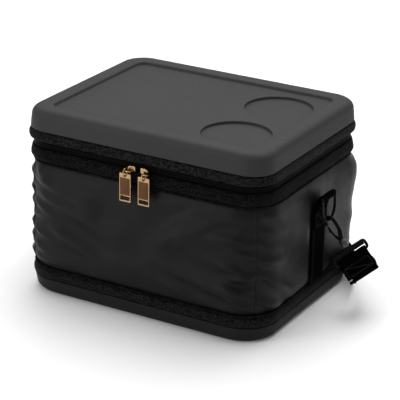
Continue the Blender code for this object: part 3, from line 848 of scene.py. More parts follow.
flat_walls = [v.co.copy() for v in walls.data.vertices]
simulate_walls(walls)
moved = max((v.co - p).length for v, p in zip(walls.data.vertices, flat_walls))
print("cloth moved up to", round(moved * 1000, 1), "mm")


# %% Smooth noise for ripples and slack
def ripple(place, size, seed):
    """Smooth noise from -1 to 1 at a place, at that size of feature in metres."""
    p = Vector(place) / size + Vector((seed * 7.3, seed * 3.1, seed * 5.7))
    return noise.noise(p)


# %% Folds that pull from the seams
# Each fold: corner, start beside it, start height, end beside it, end height, half width, rise.
# Beside a corner, minus is towards the wall before it and plus towards the wall after it.
FOLDS = [
    (2, -0.002, 0.1270, -0.064, 0.1330, 0.0050, 0.0020),
    (2, -0.001, 0.1120, -0.050, 0.1205, 0.0042, 0.0019),
    (2, -0.001, 0.0880, -0.050, 0.0740, 0.0048, 0.0030),
    (2, -0.002, 0.0850, -0.082, 0.1120, 0.0060, 0.0023),
    (2, -0.001, 0.0690, -0.048, 0.0680, 0.0040, 0.0024),
    (2, -0.002, 0.0560, -0.060, 0.0820, 0.0046, 0.0022),
    (2, -0.004, 0.0440, -0.070, 0.0660, 0.0050, 0.0018),
    (2, -0.030, 0.0400, -0.120, 0.0560, 0.0070, 0.0015),
    (2, -0.090, 0.0520, -0.190, 0.0730, 0.0090, 0.0013),
    (2, -0.080, 0.1500, -0.120, 0.1120, 0.0110, 0.0014),
    (2, -0.110, 0.1180, -0.150, 0.0900, 0.0120, 0.0010),
    (2, 0.001, 0.1440, 0.052, 0.1250, 0.0060, 0.0024),
    (2, 0.001, 0.1280, 0.040, 0.1080, 0.0050, 0.0022),
    (2, 0.001, 0.1060, 0.056, 0.0960, 0.0060, 0.0021),
    (2, 0.001, 0.0920, 0.088, 0.0300, 0.0064, 0.0034),
    (2, 0.001, 0.0570, 0.052, 0.0300, 0.0056, 0.0030),
    (2, 0.012, 0.1620, 0.048, 0.1480, 0.0060, 0.0018),
    (1, 0.000, 0.1560, 0.046, 0.1420, 0.0050, 0.0021),
    (1, 0.000, 0.1400, 0.034, 0.1480, 0.0044, 0.0019),
    (1, 0.000, 0.1200, 0.054, 0.1060, 0.0056, 0.0021),
    (1, 0.000, 0.1010, 0.036, 0.1080, 0.0044, 0.0018),
    (1, 0.000, 0.0850, 0.060, 0.0700, 0.0056, 0.0020),
    (1, 0.000, 0.0640, 0.044, 0.0560, 0.0046, 0.0020),
    (1, 0.006, 0.0460, 0.090, 0.0520, 0.0060, 0.0016),
    (1, 0.060, 0.1480, 0.110, 0.1280, 0.0100, 0.0012),
    (1, 0.018, 0.1630, 0.105, 0.1180, 0.0110, 0.0026),
    (1, 0.030, 0.1300, 0.160, 0.0900, 0.0130, 0.0024),
    (1, 0.040, 0.0900, 0.150, 0.0500, 0.0120, 0.0022),
    (2, -0.050, 0.1580, -0.130, 0.1000, 0.0130, 0.0026),
    (2, -0.020, 0.0620, -0.170, 0.0850, 0.0120, 0.0024),
    (2, -0.020, 0.1360, -0.110, 0.1150, 0.0100, 0.0020),
    (3, -0.004, 0.1560, -0.050, 0.1450, 0.0070, 0.0034),
    (3, -0.006, 0.1180, -0.058, 0.1340, 0.0080, 0.0016),
    (3, -0.004, 0.0900, -0.054, 0.0760, 0.0080, 0.0018),
    (3, -0.002, 0.0560, -0.056, 0.0480, 0.0070, 0.0016),
]
for corner, way in ((3, 1), (0, -1), (0, 1), (1, -1)):
    for k in range(3 if corner == 3 else 6):
        sway = ripple((corner * 0.31 + k * 0.17, way * 0.4, 0.2), 0.1, 9)
        start = 0.152 - (0.042 if corner == 3 else 0.0205) * k + 0.004 * sway
        reach, end = way * (0.046 + 0.012 * sway), start + 0.016 * sway - 0.006
        FOLDS.append((corner, way * 0.001, start, reach, end, 0.0052, 0.0021))


def fold_rise(away, height, fold):
    """Outward push of one fold at a place given as distance beside the corner, and height."""
    _, u0, z0, u1, z1, width, rise = fold
    du, dz = u1 - u0, z1 - z0
    t = ((away - u0) * du + (height - z0) * dz) / (du * du + dz * dz)
    if not -0.1 < t < 1.0:
        return 0.0
    across = ((away - u0) * dz - (height - z0) * du) / math.hypot(du, dz)
    fade = min(1.0, (t + 0.1) / 0.18) * (1 - max(t, 0.0)) ** 0.75
    wide = width * (0.55 + 0.75 * max(t, 0.0))
    ridge = math.exp(-((across / wide) ** 2))
    valley = 0.45 * math.exp(-(((across - 1.7 * wide) / wide) ** 2))
    return rise * fade * (ridge - valley)


PUFF_WIDE, PUFF_HIGH, PUFF_TALL = 0.045, 0.143, 0.020
INWARD_MOST, OUTWARD_MOST = 0.0016, 0.0100
PULLS_LOW, PULLS_REACH = 0.148, 0.120


def back_right_puff(beside, height):
    """The back right corner stands out: all of it a little, most near the top, with a small roll below."""
    near = math.exp(-((beside / PUFF_WIDE) ** 2))
    top = 0.0058 * math.exp(-(((height - PUFF_HIGH) / PUFF_TALL) ** 2))
    roll = 0.0016 * math.exp(-(((height - 0.090) / 0.010) ** 2))
    return near, near * (0.0032 + top + roll)


def fold_gain(fold, away):
    """How strongly a fold is laid: calm at the back right, softer beside the front right seam."""
    if fold[0] == 3:
        return 0.4
    beside_seam = fold[0] == 2 and away < 0 and abs(fold[1]) < 0.01
    return 1.1 + (0.9 if beside_seam else 1.7) * min(1.0, abs(away) / 0.02)


def lay_folds(piece):
    """Broad slack, then the folds, kept off the side strips, outside the foam and behind the pulls."""
    corner_round = [ROUND[c] for c in SEAM_COLUMNS]
    pushes = []
    for vertex, flat in zip(piece.data.vertices, flat_walls):
        row, column = divmod(vertex.index, RING)
        out = outward(flat)
        push = (vertex.co - flat).dot(out)
        here = ROUND[column]
        slack = ripple(flat, 0.060, 11) * 0.0030 + ripple(flat, 0.024, 12) * 0.0010
        back_right, puff = back_right_puff(here - corner_round[3], flat.z)
        push += slack * (1.0 - 0.7 * back_right) + puff
        for fold in FOLDS:
            away = here - corner_round[fold[0]]
            if abs(away) < 0.2:
                push += fold_rise(away, flat.z, fold) * fold_gain(fold, away)
        edge = min(row, CLOTH_ROWS - row) / 4.0
        push *= min(1.0, edge) ** 0.7
        if abs(flat.x) > 0.16:
            beside = (abs(flat.y - 0.010) - 0.0185) / 0.010
            push = push * max(0.0, min(1.0, beside)) - 0.0003 * (1 - max(0.0, min(1.0, beside)))
        push = max(-INWARD_MOST, min(OUTWARD_MOST, push))
        if flat.y < -0.12:
            below, past = max(0.0, PULLS_LOW - flat.z), max(0.0, abs(flat.x) - PULLS_REACH)
            push = min(push, 0.0008 + 0.35 * below + 0.25 * past)
        if row in (0, CLOTH_ROWS):
            push = 0.0
        pushes.append((out, push))
    for vertex, flat, (out, push) in zip(piece.data.vertices, flat_walls, pushes):
        vertex.co = flat + out * push


def outward(point):
    """Outward direction of the wall at a place on a ring."""
    cx, cy = BAG_W / 2 - 0.045, BAG_D / 2 - 0.045
    near = Vector((max(-cx, min(cx, point.x)), max(-cy, min(cy, point.y)), point.z))
    if abs(point.x) <= cx:
        return Vector((0.0, math.copysign(1.0, point.y), 0.0))
    if abs(point.y) <= cy:
        return Vector((math.copysign(1.0, point.x), 0.0, 0.0))
    return (point - near).normalized()


lay_folds(walls)


# %% Weave map and finish of the wall cloth
def add_round_map(piece, rings_count):
    """Weave map of a lofted ring piece: metres up its profile, and metres round the bag."""
    layer = piece.data.uv_layers.new(name="weave")
    verts = piece.data.vertices
    up = [0.0]
    for i in range(1, rings_count):
        up.append(up[-1] + (verts[i * RING].co - verts[(i - 1) * RING].co).length)
    for polygon in piece.data.polygons:
        columns = [v % RING for v in polygon.vertices]
        wraps = max(columns) - min(columns) > RING // 2
        for loop in polygon.loop_indices:
            row, column = divmod(piece.data.loops[loop].vertex_index, RING)
            along = ROUND[column] if not (wraps and column < RING // 2) else FULL_ROUND + ROUND[column]
            layer.data[loop].uv = (up[min(row, rings_count - 1)], along)


add_round_map(walls, CLOTH_ROWS + 1)
thicken = walls.modifiers.new("thickness", "SOLIDIFY")
thicken.thickness = 0.0008
thicken.offset = -1.0
finer = walls.modifiers.new("finer", "SUBSURF")
finer.levels = finer.render_levels = 1
apply_modifiers(walls)
smooth(walls, 70.0)
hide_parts("body_fabric")
dress(walls, "body")
print("wall cloth faces:", len(walls.data.polygons))


# %% Corner seams: a turned ridge and a row of stitches on each side of it
def corner_seams():
    from_mesh = bmesh.new()
    from_mesh.from_mesh(walls.data)
    tree = BVHTree.FromBMesh(from_mesh)
    parts = []
    for column in SEAM_COLUMNS:
        for shift, kind in ((0.0, "ridge"), (-0.0032, "stitch"), (0.0032, "stitch")):
            line, outs = [], []
            for i in range(2, CLOTH_ROWS - 1):
                base = flat_walls[i * RING + column]
                out = outward(base)
                beside = Vector((-out.y, out.x, 0.0))
                ray_from = base + out * 0.03 + beside * shift
                hit, normal, _, _ = tree.ray_cast(ray_from, -out)
                if hit is None:
                    continue
                line.append(hit + out * (0.0001 if kind == "ridge" else 0.0002))
                outs.append(out)
            line = smooth_line(line, 1)
            parts.append((kind, line, outs))
    from_mesh.free()
    return parts


seam_lines = corner_seams()

# %% [markdown]
# ## Tapes
# Each tape is folded webbing sewn over an edge. It is lofted like the walls, then rippled a
# little, because a tape that is sewn on a curve always puckers. Its weave map runs along it.

# %% Lofted bands
def band(name, rows, thickness, finish, pucker, seed, smooth_degrees=60.0):
    """A tape round the bag: outer profile rows (inset, radius, z), closed behind by a thinner inner wall."""
    outer = [ring_points(*row) for row in rows]
    for i, ring in enumerate(outer):
        mid = 1.0 - abs(2 * i / (len(outer) - 1) - 1) * 0.45
        for point in ring:
            flat = Vector((point.x / BAG_W, point.y / BAG_D, 0.0)).normalized()
            push = ripple(point, 0.030, seed) * pucker * mid + ripple(point, 0.009, seed + 2) * pucker * 0.35
            lift = ripple(Vector((point.x, point.y, 0.0)), 0.034, seed + 5) * pucker * 0.5
            point += flat * push + Vector((0.0, 0.0, lift))
    inner = [ring_points(row[0] + thickness, row[1] - thickness, row[2]) for row in reversed(rows)]
    piece = loft(name, outer + inner, finish, cyclic=True)
    add_round_map(piece, len(outer) + len(inner))
    smooth(piece, smooth_degrees)
    return piece


# %% Upper, lower and base tape
upper_rows = [(0.0016, 0.0350, 0.1979), (-0.0004, 0.0350, 0.1984), (-0.0017, 0.0345, 0.1998)]
upper_rows += [
    (-0.0022, 0.0340, 0.2025), (-0.0021, 0.0335, 0.2055), (-0.0014, 0.0330, 0.2080),
    (-0.0002, 0.0320, 0.2098), (0.0016, 0.0310, 0.2107),
]
upper_tape = band("upper_tape", upper_rows, 0.0024, tape_cloth, 0.00055, 1)
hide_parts("upper_zip_tape")
dress(upper_tape, "lid")

lower_rows = [
    (0.0012, 0.0440, 0.1731), (-0.0014, 0.0440, 0.1737), (-0.0027, 0.0435, 0.1752),
    (-0.0033, 0.0430, 0.1775),
]
lower_rows += [
    (-0.0029, 0.0420, 0.1802), (-0.0020, 0.0400, 0.1832), (-0.0011, 0.0385, 0.1860),
    (-0.0002, 0.0370, 0.1882), (0.0016, 0.0355, 0.1890),
]
# The lower tape takes the darker tape finish, which is partly painted shade from the upper tape above it.
lower_tape = band("lower_tape", lower_rows, 0.0024, shaded_tape_cloth, 0.0008, 2)
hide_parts("lower_zip_tape")
dress(lower_tape, "body")

base_rows = [
    (0.0010, 0.0445, 0.0196), (-0.0014, 0.0450, 0.0200), (-0.0027, 0.0450, 0.0218),
    (-0.0030, 0.0450, 0.0250),
]
base_rows += [
    (-0.0028, 0.0450, 0.0282), (-0.0020, 0.0450, 0.0306), (-0.0006, 0.0450, 0.0319),
    (0.0012, 0.0440, 0.0322),
]
base_tape_piece = band("base_band", base_rows, 0.0024, tape_cloth, 0.0005, 3)
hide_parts("base_tape")
dress(base_tape_piece, "body")
print("tapes made")


# %% [markdown]
# ## Piping and wires
# A cord or a bent wire is a curve with a round bevel, made a mesh once its line is right.


# %% Wire helper
def wire(name, points, radius, finish, cyclic=False, sides=4, radii=None):
    """A round wire along points, as a mesh at the origin with the weave map along it."""
    deselect()
    curve = bpy.data.curves.new(name, "CURVE")
    curve.dimensions = "3D"
    curve.bevel_depth = radius
    curve.bevel_resolution = sides
    curve.use_fill_caps = True
    spline = curve.splines.new("POLY")
    spline.points.add(len(points) - 1)
    for i, point in enumerate(points):
        spline.points[i].co = (*point, 1.0)
        spline.points[i].radius = radii[i] if radii else 1.0
    spline.use_cyclic_u = cyclic
    piece = bpy.data.objects.new(name, curve)
    bpy.context.scene.collection.objects.link(piece)
    piece.select_set(True)
    bpy.context.view_layer.objects.active = piece
    bpy.ops.object.convert(target="MESH")
    piece = bpy.context.object
    piece.data.materials.clear()
    piece.data.materials.append(finish)
    if piece.data.uv_layers:
        piece.data.uv_layers[0].name = "weave"
    smooth(piece, 60.0)
    return piece


# %% Piping at both wall seams
for name, node, z, inset, seed in (
    ("top_cord", "top_piping", 0.1713, -0.0008, 4),
    ("base_cord", "base_piping", 0.0345, -0.0012, 6),
):
    line = ring_points(inset, 0.0450, z)
    for point in line:
        point.z += ripple(Vector((point.x, point.y, 0.0)), 0.030, seed) * 0.0005
    piping = wire(name, line, 0.00150, tape_cloth, cyclic=True, sides=3)
    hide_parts(node)
    dress(piping, "body")
print("piping made")


# %% [markdown]
# ## Zip
# A coil zip is one nylon spiral sewn to each tape. One tooth is modelled with a few faces and
# copied along the zip line, once for each side; a flat cloth strip behind carries them.

# %% Teeth
def run_along(points, pitch):
    """Places and forward directions at equal steps along a line."""
    placed, carry = [], 0.0
    for a, b in zip(points, points[1:]):
        length = (b - a).length
        forward = (b - a).normalized()
        while carry < length:
            placed.append((a + forward * carry, forward))
            carry += pitch
        carry -= length
    return placed


def copies(name, shape_size, bevel, places, finish):
    """One small bevelled block copied to each (centre, forward, out) place, as one mesh."""
    deselect()
    bpy.ops.mesh.primitive_cube_add(size=1.0, location=(0.0, 0.0, 0.0))
    block = bpy.context.object
    block.scale = shape_size
    bpy.ops.object.transform_apply(location=False, rotation=False, scale=True)
    rounded = block.modifiers.new("edge", "BEVEL")
    rounded.width = bevel
    rounded.segments = 1
    apply_modifiers(block)
    base_verts = [v.co.copy() for v in block.data.vertices]
    base_faces = [tuple(p.vertices) for p in block.data.polygons]
    bpy.data.objects.remove(block, do_unlink=True)
    verts, faces = [], []
    for centre, forward, out in places:
        third = forward.cross(out).normalized()
        start = len(verts)
        verts += [centre + forward * v.x + out * v.y + third * v.z for v in base_verts]
        faces += [tuple(start + k for k in face) for face in base_faces]
    piece = place_mesh(name, verts, faces, finish)
    recalculate(piece)
    smooth(piece, 50.0)
    return piece


def zip_line(inset, z):
    """From the rear left stop, round the front, to the rear right stop."""
    ring = ring_points(inset, 0.0360 - inset, z)
    return [p for p in ring if not (p.y > 0.10 and abs(p.x) < 0.1135)]


for name, node, side, body in (
    ("upper_teeth", "upper_zip_coil", 1, "lid"),
    ("lower_teeth", "lower_zip_coil", -1, "body"),
):
    line = zip_line(0.0030, 0.1935 + side * 0.0016)
    places = [(p, f, outward(p)) for p, f in run_along(line, 0.0021)]
    teeth = copies(name, (0.00135, 0.0026, 0.0030), 0.0004, places, coil_nylon)
    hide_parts(node)
    dress(teeth, body)
    low_z, high_z = (0.1937, 0.1990) if side > 0 else (0.1880, 0.1933)
    strip = band(
        name.replace("teeth", "zip_cloth"),
        [(0.0042, 0.032, low_z), (0.0040, 0.032, (low_z + high_z) / 2), (0.0042, 0.032, high_z)],
        0.0008,
        strap_cloth,
        0.0,
        7,
    )
    dress(strip, body)
print("zip made:", len(places), "teeth a side")


# %% Hinge cloth at the back, and the zip's stops
hinge_line = [Vector((-0.1120 + 0.224 * k / 40, 0.1274, 0.1935)) for k in range(41)]
hinge_cloth = webbing("hinge_cloth", hinge_line, [Vector((0, 0, 1))] * 41, 0.0090, 0.0014, tape_cloth)
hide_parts("rear_hinge")
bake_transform(hinge_cloth)


def repaint(node, finish):
    """A CAD node that stays, in a better finish."""
    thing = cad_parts[node]
    for held in thing.material_slots:
        held.material = finish


for node, finish in (
    ("zip_stop_left", gold),
    ("zip_stop_right", gold),
    ("floor_insulation", foam_finish),
    ("wall_insulation", foam_finish),
    ("lid_insulation", foam_finish),
):
    repaint(node, finish)

# %% [markdown]
# ## Liner
# Inside, a silver liner lines the foam as one tub with a soft corner at its floor, bound at
# its rim. It is thin, so it has an outer and an inner wall in one loft.

# %% Tub, rim and lid liner
tub_rows = [
    (0.0200, 0.0260, 0.0216), (0.0132, 0.0318, 0.0218), (0.0130, 0.0320, 0.0400),
    (0.0130, 0.0320, 0.1856),
]
tub_rows += [
    (0.0142, 0.0308, 0.1856), (0.0142, 0.0308, 0.1300), (0.0143, 0.0307, 0.0800),
    (0.0143, 0.0307, 0.0340),
]
for k in range(1, 7):
    a = math.radians(15 * k)
    tub_rows.append(
        (
            0.0143 + 0.0090 * (1 - math.cos(a)),
            0.0307 - 0.0060 * (1 - math.cos(a)),
            0.0330 - 0.0098 * math.sin(a),
        )
    )
tub = loft("liner_tub", [ring_points(*row) for row in tub_rows], liner_finish, cap_start=True, cap_end=True)
smooth(tub, 40.0)
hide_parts("inner_liner")
dress(tub, "body")

rim_rows = [
    (0.0050, 0.0400, 0.1864), (0.0054, 0.0396, 0.1874), (0.0070, 0.0380, 0.1879),
    (0.0122, 0.0330, 0.1879), (0.0140, 0.0312, 0.1874), (0.0144, 0.0306, 0.1864),
]
rim = band("rim_tape", rim_rows, 0.0, tape_cloth, 0.0002, 8)
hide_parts("rim_binding")
dress(rim, "body")

lining_rows = [
    (0.0053, 0.0300, 0.2095), (0.0053, 0.0300, 0.2086), (0.0060, 0.0294, 0.2083),
    (0.0170, 0.0240, 0.2082), (0.0185, 0.0228, 0.2088), (0.0200, 0.0216, 0.2083),
    (0.0400, 0.0100, 0.2082),
]
lining = loft(
    "lid_lining",
    [ring_points(*row) for row in lining_rows],
    liner_finish,
    cap_start=True,
    cap_end=True,
)
smooth(lining, 40.0)
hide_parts("lid_liner")
dress(lining, "lid")
print("liner made")

# %% [markdown]
# ## Sliders and pulls
# Each slider is a small shield with a crown; a link ring joins it to a framed plate with a
# copper panel. The plate is cut from a block with its window and eye, then softly bevelled.


# %% Blocks and cuts
def block_between(name, low, high, finish):
    deselect()
    size = [b - a for a, b in zip(low, high)]
    centre = [(a + b) / 2 for a, b in zip(low, high)]
    bpy.ops.mesh.primitive_cube_add(size=1.0, location=centre)
    piece = bpy.context.object
    piece.scale = size
    bpy.ops.object.transform_apply(location=True, rotation=False, scale=True)
    piece.name = name
    piece.data.materials.append(finish)
    return piece


def cut_out(piece, tool, operation="DIFFERENCE"):
    cut = piece.modifiers.new("cut", "BOOLEAN")
    cut.operation = operation
    cut.solver = "EXACT"
    cut.object = tool
    apply_modifiers(piece)
    bpy.data.objects.remove(tool, do_unlink=True)


def bevel_edges(piece, width, segments=2, degrees=30.0):
    soften = piece.modifiers.new("soften", "BEVEL")
    soften.width = width
    soften.segments = segments
    soften.limit_method = "ANGLE"
    soften.angle_limit = math.radians(degrees)
    apply_modifiers(piece)
    smooth(piece, 40.0)


def select_faces(piece, test):
    """Selects the faces whose centre and normal pass the test, ready for edit mode."""
    deselect()
    piece.select_set(True)
    bpy.context.view_layer.objects.active = piece
    bpy.ops.object.mode_set(mode="EDIT")
    bpy.ops.mesh.select_mode(type="FACE")
    bpy.ops.mesh.select_all(action="DESELECT")
    bpy.ops.object.mode_set(mode="OBJECT")
    for polygon in piece.data.polygons:
        polygon.select = test(polygon.center, polygon.normal)
    bpy.ops.object.mode_set(mode="EDIT")


def edges_along(piece, axis, offset, segments):
    """Bevels the edges that run along one axis."""
    deselect()
    piece.select_set(True)
    bpy.context.view_layer.objects.active = piece
    for polygon in piece.data.polygons:
        polygon.select = False
    for edge in piece.data.edges:
        a, b = (piece.data.vertices[v].co for v in edge.vertices)
        edge.select = abs((b - a).normalized()[axis]) > 0.99
    bpy.ops.object.mode_set(mode="EDIT")
    bpy.ops.mesh.select_mode(type="EDGE")
    bpy.ops.mesh.bevel(offset=offset, segments=segments, affect="EDGES")
    bpy.ops.object.mode_set(mode="OBJECT")


# %% One side's slider, link ring and pull
SLIDER_FRONT = -0.1352
ZIP_Z = 0.1935
LINK_R, LINK_WIRE = 0.0048, 0.00088
PULL_W, PULL_H, PULL_T = 0.0155, 0.0350, 0.0022


def make_slider_piece(side, x, s):
    """Shield, narrower at the end that leads, with the crown that holds the ring."""
    front = SLIDER_FRONT
    shield = block_between(
        "zip_shield_" + side,
        (x - 0.0052, front + 0.0002, ZIP_Z - 0.0054),
        (x + 0.0052, front + 0.0024, ZIP_Z + 0.0022),
        gold,
    )
    select_faces(shield, lambda centre, normal: normal.x * s > 0.9)
    bpy.ops.transform.resize(value=(1.0, 0.8, 0.62))
    bpy.ops.object.mode_set(mode="OBJECT")
    edges_along(shield, 1, 0.0022, 6)
    bevel_edges(shield, 0.0004, 3)
    foot_out, foot_in = x + s * 0.0068, x - s * 0.0010
    z = ZIP_Z - 0.0045
    arch = [
        (foot_out, front + 0.0008, z),
        (foot_out, front - 0.0018, z),
        (foot_out - s * 0.0006, front - 0.0033, z),
        (foot_out - s * 0.0018, front - 0.0040, z),
        (foot_in + s * 0.0018, front - 0.0040, z),
        (foot_in + s * 0.0006, front - 0.0033, z),
        (foot_in, front - 0.0018, z),
        (foot_in, front + 0.0008, z),
    ]
    crown = wire("zip_crown_" + side, smooth_line(arch, 3), 0.00085, gold, sides=4)
    piece = join("zip_shield_" + side, [shield, crown])
    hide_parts("slider_" + side)
    dress(piece, "zip_slider_" + side)


PULL_FRAME, INLAY_GAP, RIB_INSET = 0.0011, 0.0002, 0.0028
WINDOW_LOW, WINDOW_HIGH, INLAY_LOW, INLAY_TOP = 0.0016, 0.0070, 0.0077, 0.0052
EYE_RADIUS, RIB_COUNT = 0.0013, 9


def make_pull_piece(side, x, s):
    """Link ring, framed plate and copper panel, hanging from the crown's outer end."""
    centre = Vector((x + s * 0.0040, SLIDER_FRONT - 0.0016 - LINK_R, ZIP_Z - 0.0045))
    ring_line = []
    for k in range(32):
        a = 2 * math.pi * k / 32
        ring_line.append(centre + Vector((0.0, LINK_R * math.cos(a), LINK_R * math.sin(a))))
    ring = wire("zip_link_ring_" + side, ring_line, LINK_WIRE, gold, cyclic=True, sides=4)
    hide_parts("link_ring_" + side)
    dress(ring, "zip_link_" + side)

    pivot = centre - Vector((0.0, 0.0, LINK_R))
    top = pivot.z + 0.0030
    y0, y1 = centre.y - PULL_T / 2, centre.y + PULL_T / 2
    left, right = centre.x - PULL_W / 2, centre.x + PULL_W / 2
    plate = block_between("pull_plate_" + side, (left, y0, top - PULL_H), (right, y1, top), gold)
    edges_along(plate, 1, 0.0006, 3)
    deselect()
    bpy.ops.mesh.primitive_cylinder_add(
        vertices=24,
        radius=EYE_RADIUS,
        depth=0.02,
        location=pivot,
        rotation=(math.pi / 2, 0, 0),
    )
    cut_out(plate, bpy.context.object)
    low = top - PULL_H
    window_from = (left + 0.0012, y0 - 0.01, low + WINDOW_LOW)
    window_to = (right - 0.0012, y1 + 0.01, low + WINDOW_HIGH)
    window = block_between("window", window_from, window_to, gold)
    edges_along(window, 1, 0.0007, 3)
    cut_out(plate, window)
    recess_from = (left + PULL_FRAME, y0 - 0.01, low + INLAY_LOW)
    recess_to = (right - PULL_FRAME, y0 + 0.0007, top - INLAY_TOP)
    recess = block_between("recess", recess_from, recess_to, gold)
    edges_along(recess, 1, 0.0007, 3)
    cut_out(plate, recess)
    bevel_edges(plate, 0.00022, 2)
    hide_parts("pull_" + side)
    dress(plate, "zip_pull_" + side)

    inset = PULL_FRAME + INLAY_GAP
    panel_low, panel_high = low + INLAY_LOW + INLAY_GAP, top - INLAY_TOP - INLAY_GAP
    panel_from, panel_to = (left + inset, y0 + 0.00035, panel_low), (right - inset, y0 + 0.00075, panel_high)
    panel = block_between("pull_panel_" + side, panel_from, panel_to, copper)
    edges_along(panel, 1, 0.0006, 3)
    parts = [panel]
    height = (top - 0.0060) - (low + 0.0088)
    for row in range(RIB_COUNT):
        z = low + 0.0088 + height * (row + 1) / 10
        rib_from, rib_to = (left + RIB_INSET, y0 - 0.0001, z - 0.00045), (
            right - RIB_INSET,
            y0 + 0.0006,
            z + 0.00045,
        )
        rib = block_between("rib", rib_from, rib_to, copper)
        bevel_edges(rib, 0.00018, 2)
        parts.append(rib)
    bevel_edges(panel, 0.00012, 2)
    panel = join("pull_panel_" + side, parts)
    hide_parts("pull_inlay_" + side)
    dress(panel, "zip_pull_" + side)


for side, s, x in (("left", -1, -0.0062), ("right", 1, 0.0112)):
    make_slider_piece(side, x, s)
    make_pull_piece(side, x, s)
print("sliders and pulls made")

# %% [markdown]
# ## Side webbing, rings and hooks
# A strip of webbing is sewn up each side, loops over the D-ring's bar and comes back down.
# The hardware is bent wire, thicker where the real one is cast, with a sprung gate.

# %% Where the hook hangs
SIDE_Y = 0.010
BAR_X, BAR_Z = 0.181, 0.149
D_WIRE, D_HALF, D_DROP = 0.00175, 0.01725, 0.032
D_LEAN = math.radians(4)
HOOK_LEAN = {"right": math.radians(40), "left": math.radians(24)}
HOOK_TWIST = {"right": math.radians(35), "left": math.radians(50)}
BARREL = (0.0270, 0.0375)
BAR_TOP, BAR_LOW = 0.0410, 0.0510


def hook_frame(side, s):
    """The hook's pivot, and its long, outward and strap-width directions."""
    start = Vector((s * (BAR_X + D_DROP * math.sin(D_LEAN)), SIDE_Y, BAR_Z - D_DROP * math.cos(D_LEAN)))
    lean, twist = HOOK_LEAN[side], HOOK_TWIST[side]
    down = Vector((s * math.sin(lean), 0, -math.cos(lean)))
    out = Vector((s * math.cos(lean), 0, math.sin(lean)))
    return start, down, out, out * math.cos(twist) + Vector((0, 1, 0)) * math.sin(twist)


# %% Side webbing with its box of stitches
def stitch_row(name, points, outs, finish, pitch=0.0030, size=(0.0021, 0.0006, 0.0006)):
    """Thread stitches along a line, each lying on the surface whose outward direction is given."""
    lengths = round_lengths(points)
    places, k = [], 0
    at = pitch / 2
    while at < lengths[-1]:
        while lengths[k + 1] < at:
            k += 1
        t = (at - lengths[k]) / (lengths[k + 1] - lengths[k])
        forward = (points[k + 1] - points[k]).normalized()
        places.append((points[k].lerp(points[k + 1], t), forward, outs[k].lerp(outs[k + 1], t).normalized()))
        at += pitch
    return copies(name, size, 0.00018, places, finish)


def make_thread():
    finish, tree, shader = new_finish("sewing_thread_finish", (0.002, 0.002, 0.002), 0.8)
    place = add_node(tree, "ShaderNodeTexCoord").outputs["Object"]
    twist = add_node(tree, "ShaderNodeTexNoise", Scale=1500.0, Detail=2.0)
    tree.links.new(place, twist.inputs["Vector"])
    tint(tree, shader, twist.outputs["Fac"], (0.0015, 0.0015, 0.0015), (0.0045, 0.0045, 0.0045))
    bump(tree, shader, [(twist.outputs["Fac"], 0.0001)])
    return finish


thread = make_thread()


def make_side_strip(side, s):
    x0 = BAG_W / 2 + 0.0026 + 0.0003 + WEB_THICK / 2
    path = [
        (x0, 0.0368), (x0, 0.0600), (x0, 0.0900), (x0, 0.1150), (x0, 0.1300),
        (x0 + 0.0012, 0.1390), (x0 + 0.0050, 0.1478),
    ]
    wrap = D_WIRE + 0.00045 + WEB_THICK / 2
    for k in range(9):
        a = math.radians(140 - 250 * k / 8)
        path.append((BAR_X + wrap * math.cos(a), BAR_Z + wrap * math.sin(a)))
    x1 = x0 + WEB_THICK + 0.0003
    path += [(x0 + 0.0064, 0.1418), (x1 + 0.0018, 0.1345), (x1, 0.1280), (x1, 0.1080)]
    widths = [0.036] * 5 + [0.033] + [0.030] * 11 + [0.031, 0.034, 0.034]
    line = smooth_line([(s * x, SIDE_Y, z) for x, z in path], 3)
    spread = smooth_line([(w, 0.0, 0.0) for w in widths], 3)
    strip = webbing(
        "side_strip_" + side,
        line,
        [Vector((0, 1, 0))] * len(line),
        [w.x for w in spread],
        WEB_THICK,
        strap_cloth,
    )
    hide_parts("side_webbing_" + side)
    dress(strip, "body")
    face = s * (x1 + WEB_THICK / 2 + 0.0001)
    a, b = SIDE_Y - 0.0135, SIDE_Y + 0.0135
    low, high = 0.1105, 0.1275
    box_line = [
        Vector((face, y, z))
        for y, z in (
            (a, low), (b, low), (b, high), (a, high), (a, low), (b, high), (b, high - 0.0001),
            (b, low), (a, high),
        )
    ]
    rows = [stitch_row("box", box_line, [Vector((s, 0, 0))] * len(box_line), thread, 0.0027)]
    low_face = s * (x0 + WEB_THICK / 2 + 0.0001)
    for y in (SIDE_Y - 0.0150, SIDE_Y + 0.0150):
        edge_line = [Vector((low_face, y, 0.0380 + 0.068 * k / 8)) for k in range(9)]
        rows.append(stitch_row("edge", edge_line, [Vector((s, 0, 0))] * 9, thread))
    sewn = join("side_stitches_" + side, rows)
    dress(sewn, "body")


# %% D-ring, hook, gate, swivel and strap ring
def turned_rod(name, low, high, profile, finish):
    """A turned rod from low to high; profile gives (share of length, radius)."""
    axis = high - low
    deselect()
    bpy.ops.mesh.primitive_circle_add(
        vertices=24,
        radius=profile[0][1],
        location=(0.0, 0.0, 0.0),
        fill_type="NOTHING",
    )
    rod = bpy.context.object
    bpy.ops.object.mode_set(mode="EDIT")
    bpy.ops.mesh.select_all(action="SELECT")
    for (a, ra), (b, rb) in zip(profile, profile[1:]):
        bpy.ops.mesh.extrude_region_move(TRANSFORM_OT_translate={"value": (0.0, 0.0, (b - a) * axis.length)})
        bpy.ops.transform.resize(value=(rb / ra, rb / ra, 1.0))
    bpy.ops.object.mode_set(mode="OBJECT")
    shape = bmesh.new()
    shape.from_mesh(rod.data)
    bmesh.ops.holes_fill(shape, edges=shape.edges, sides=0)
    bmesh.ops.recalc_face_normals(shape, faces=shape.faces)
    shape.to_mesh(rod.data)
    shape.free()
    turn = Vector((0, 0, 1)).rotation_difference(axis.normalized()).to_matrix().to_4x4()
    rod.data.transform(Matrix.Translation(low) @ turn)
    rod.name = name
    rod.data.materials.append(finish)
    smooth(rod, 40.0)
    return rod


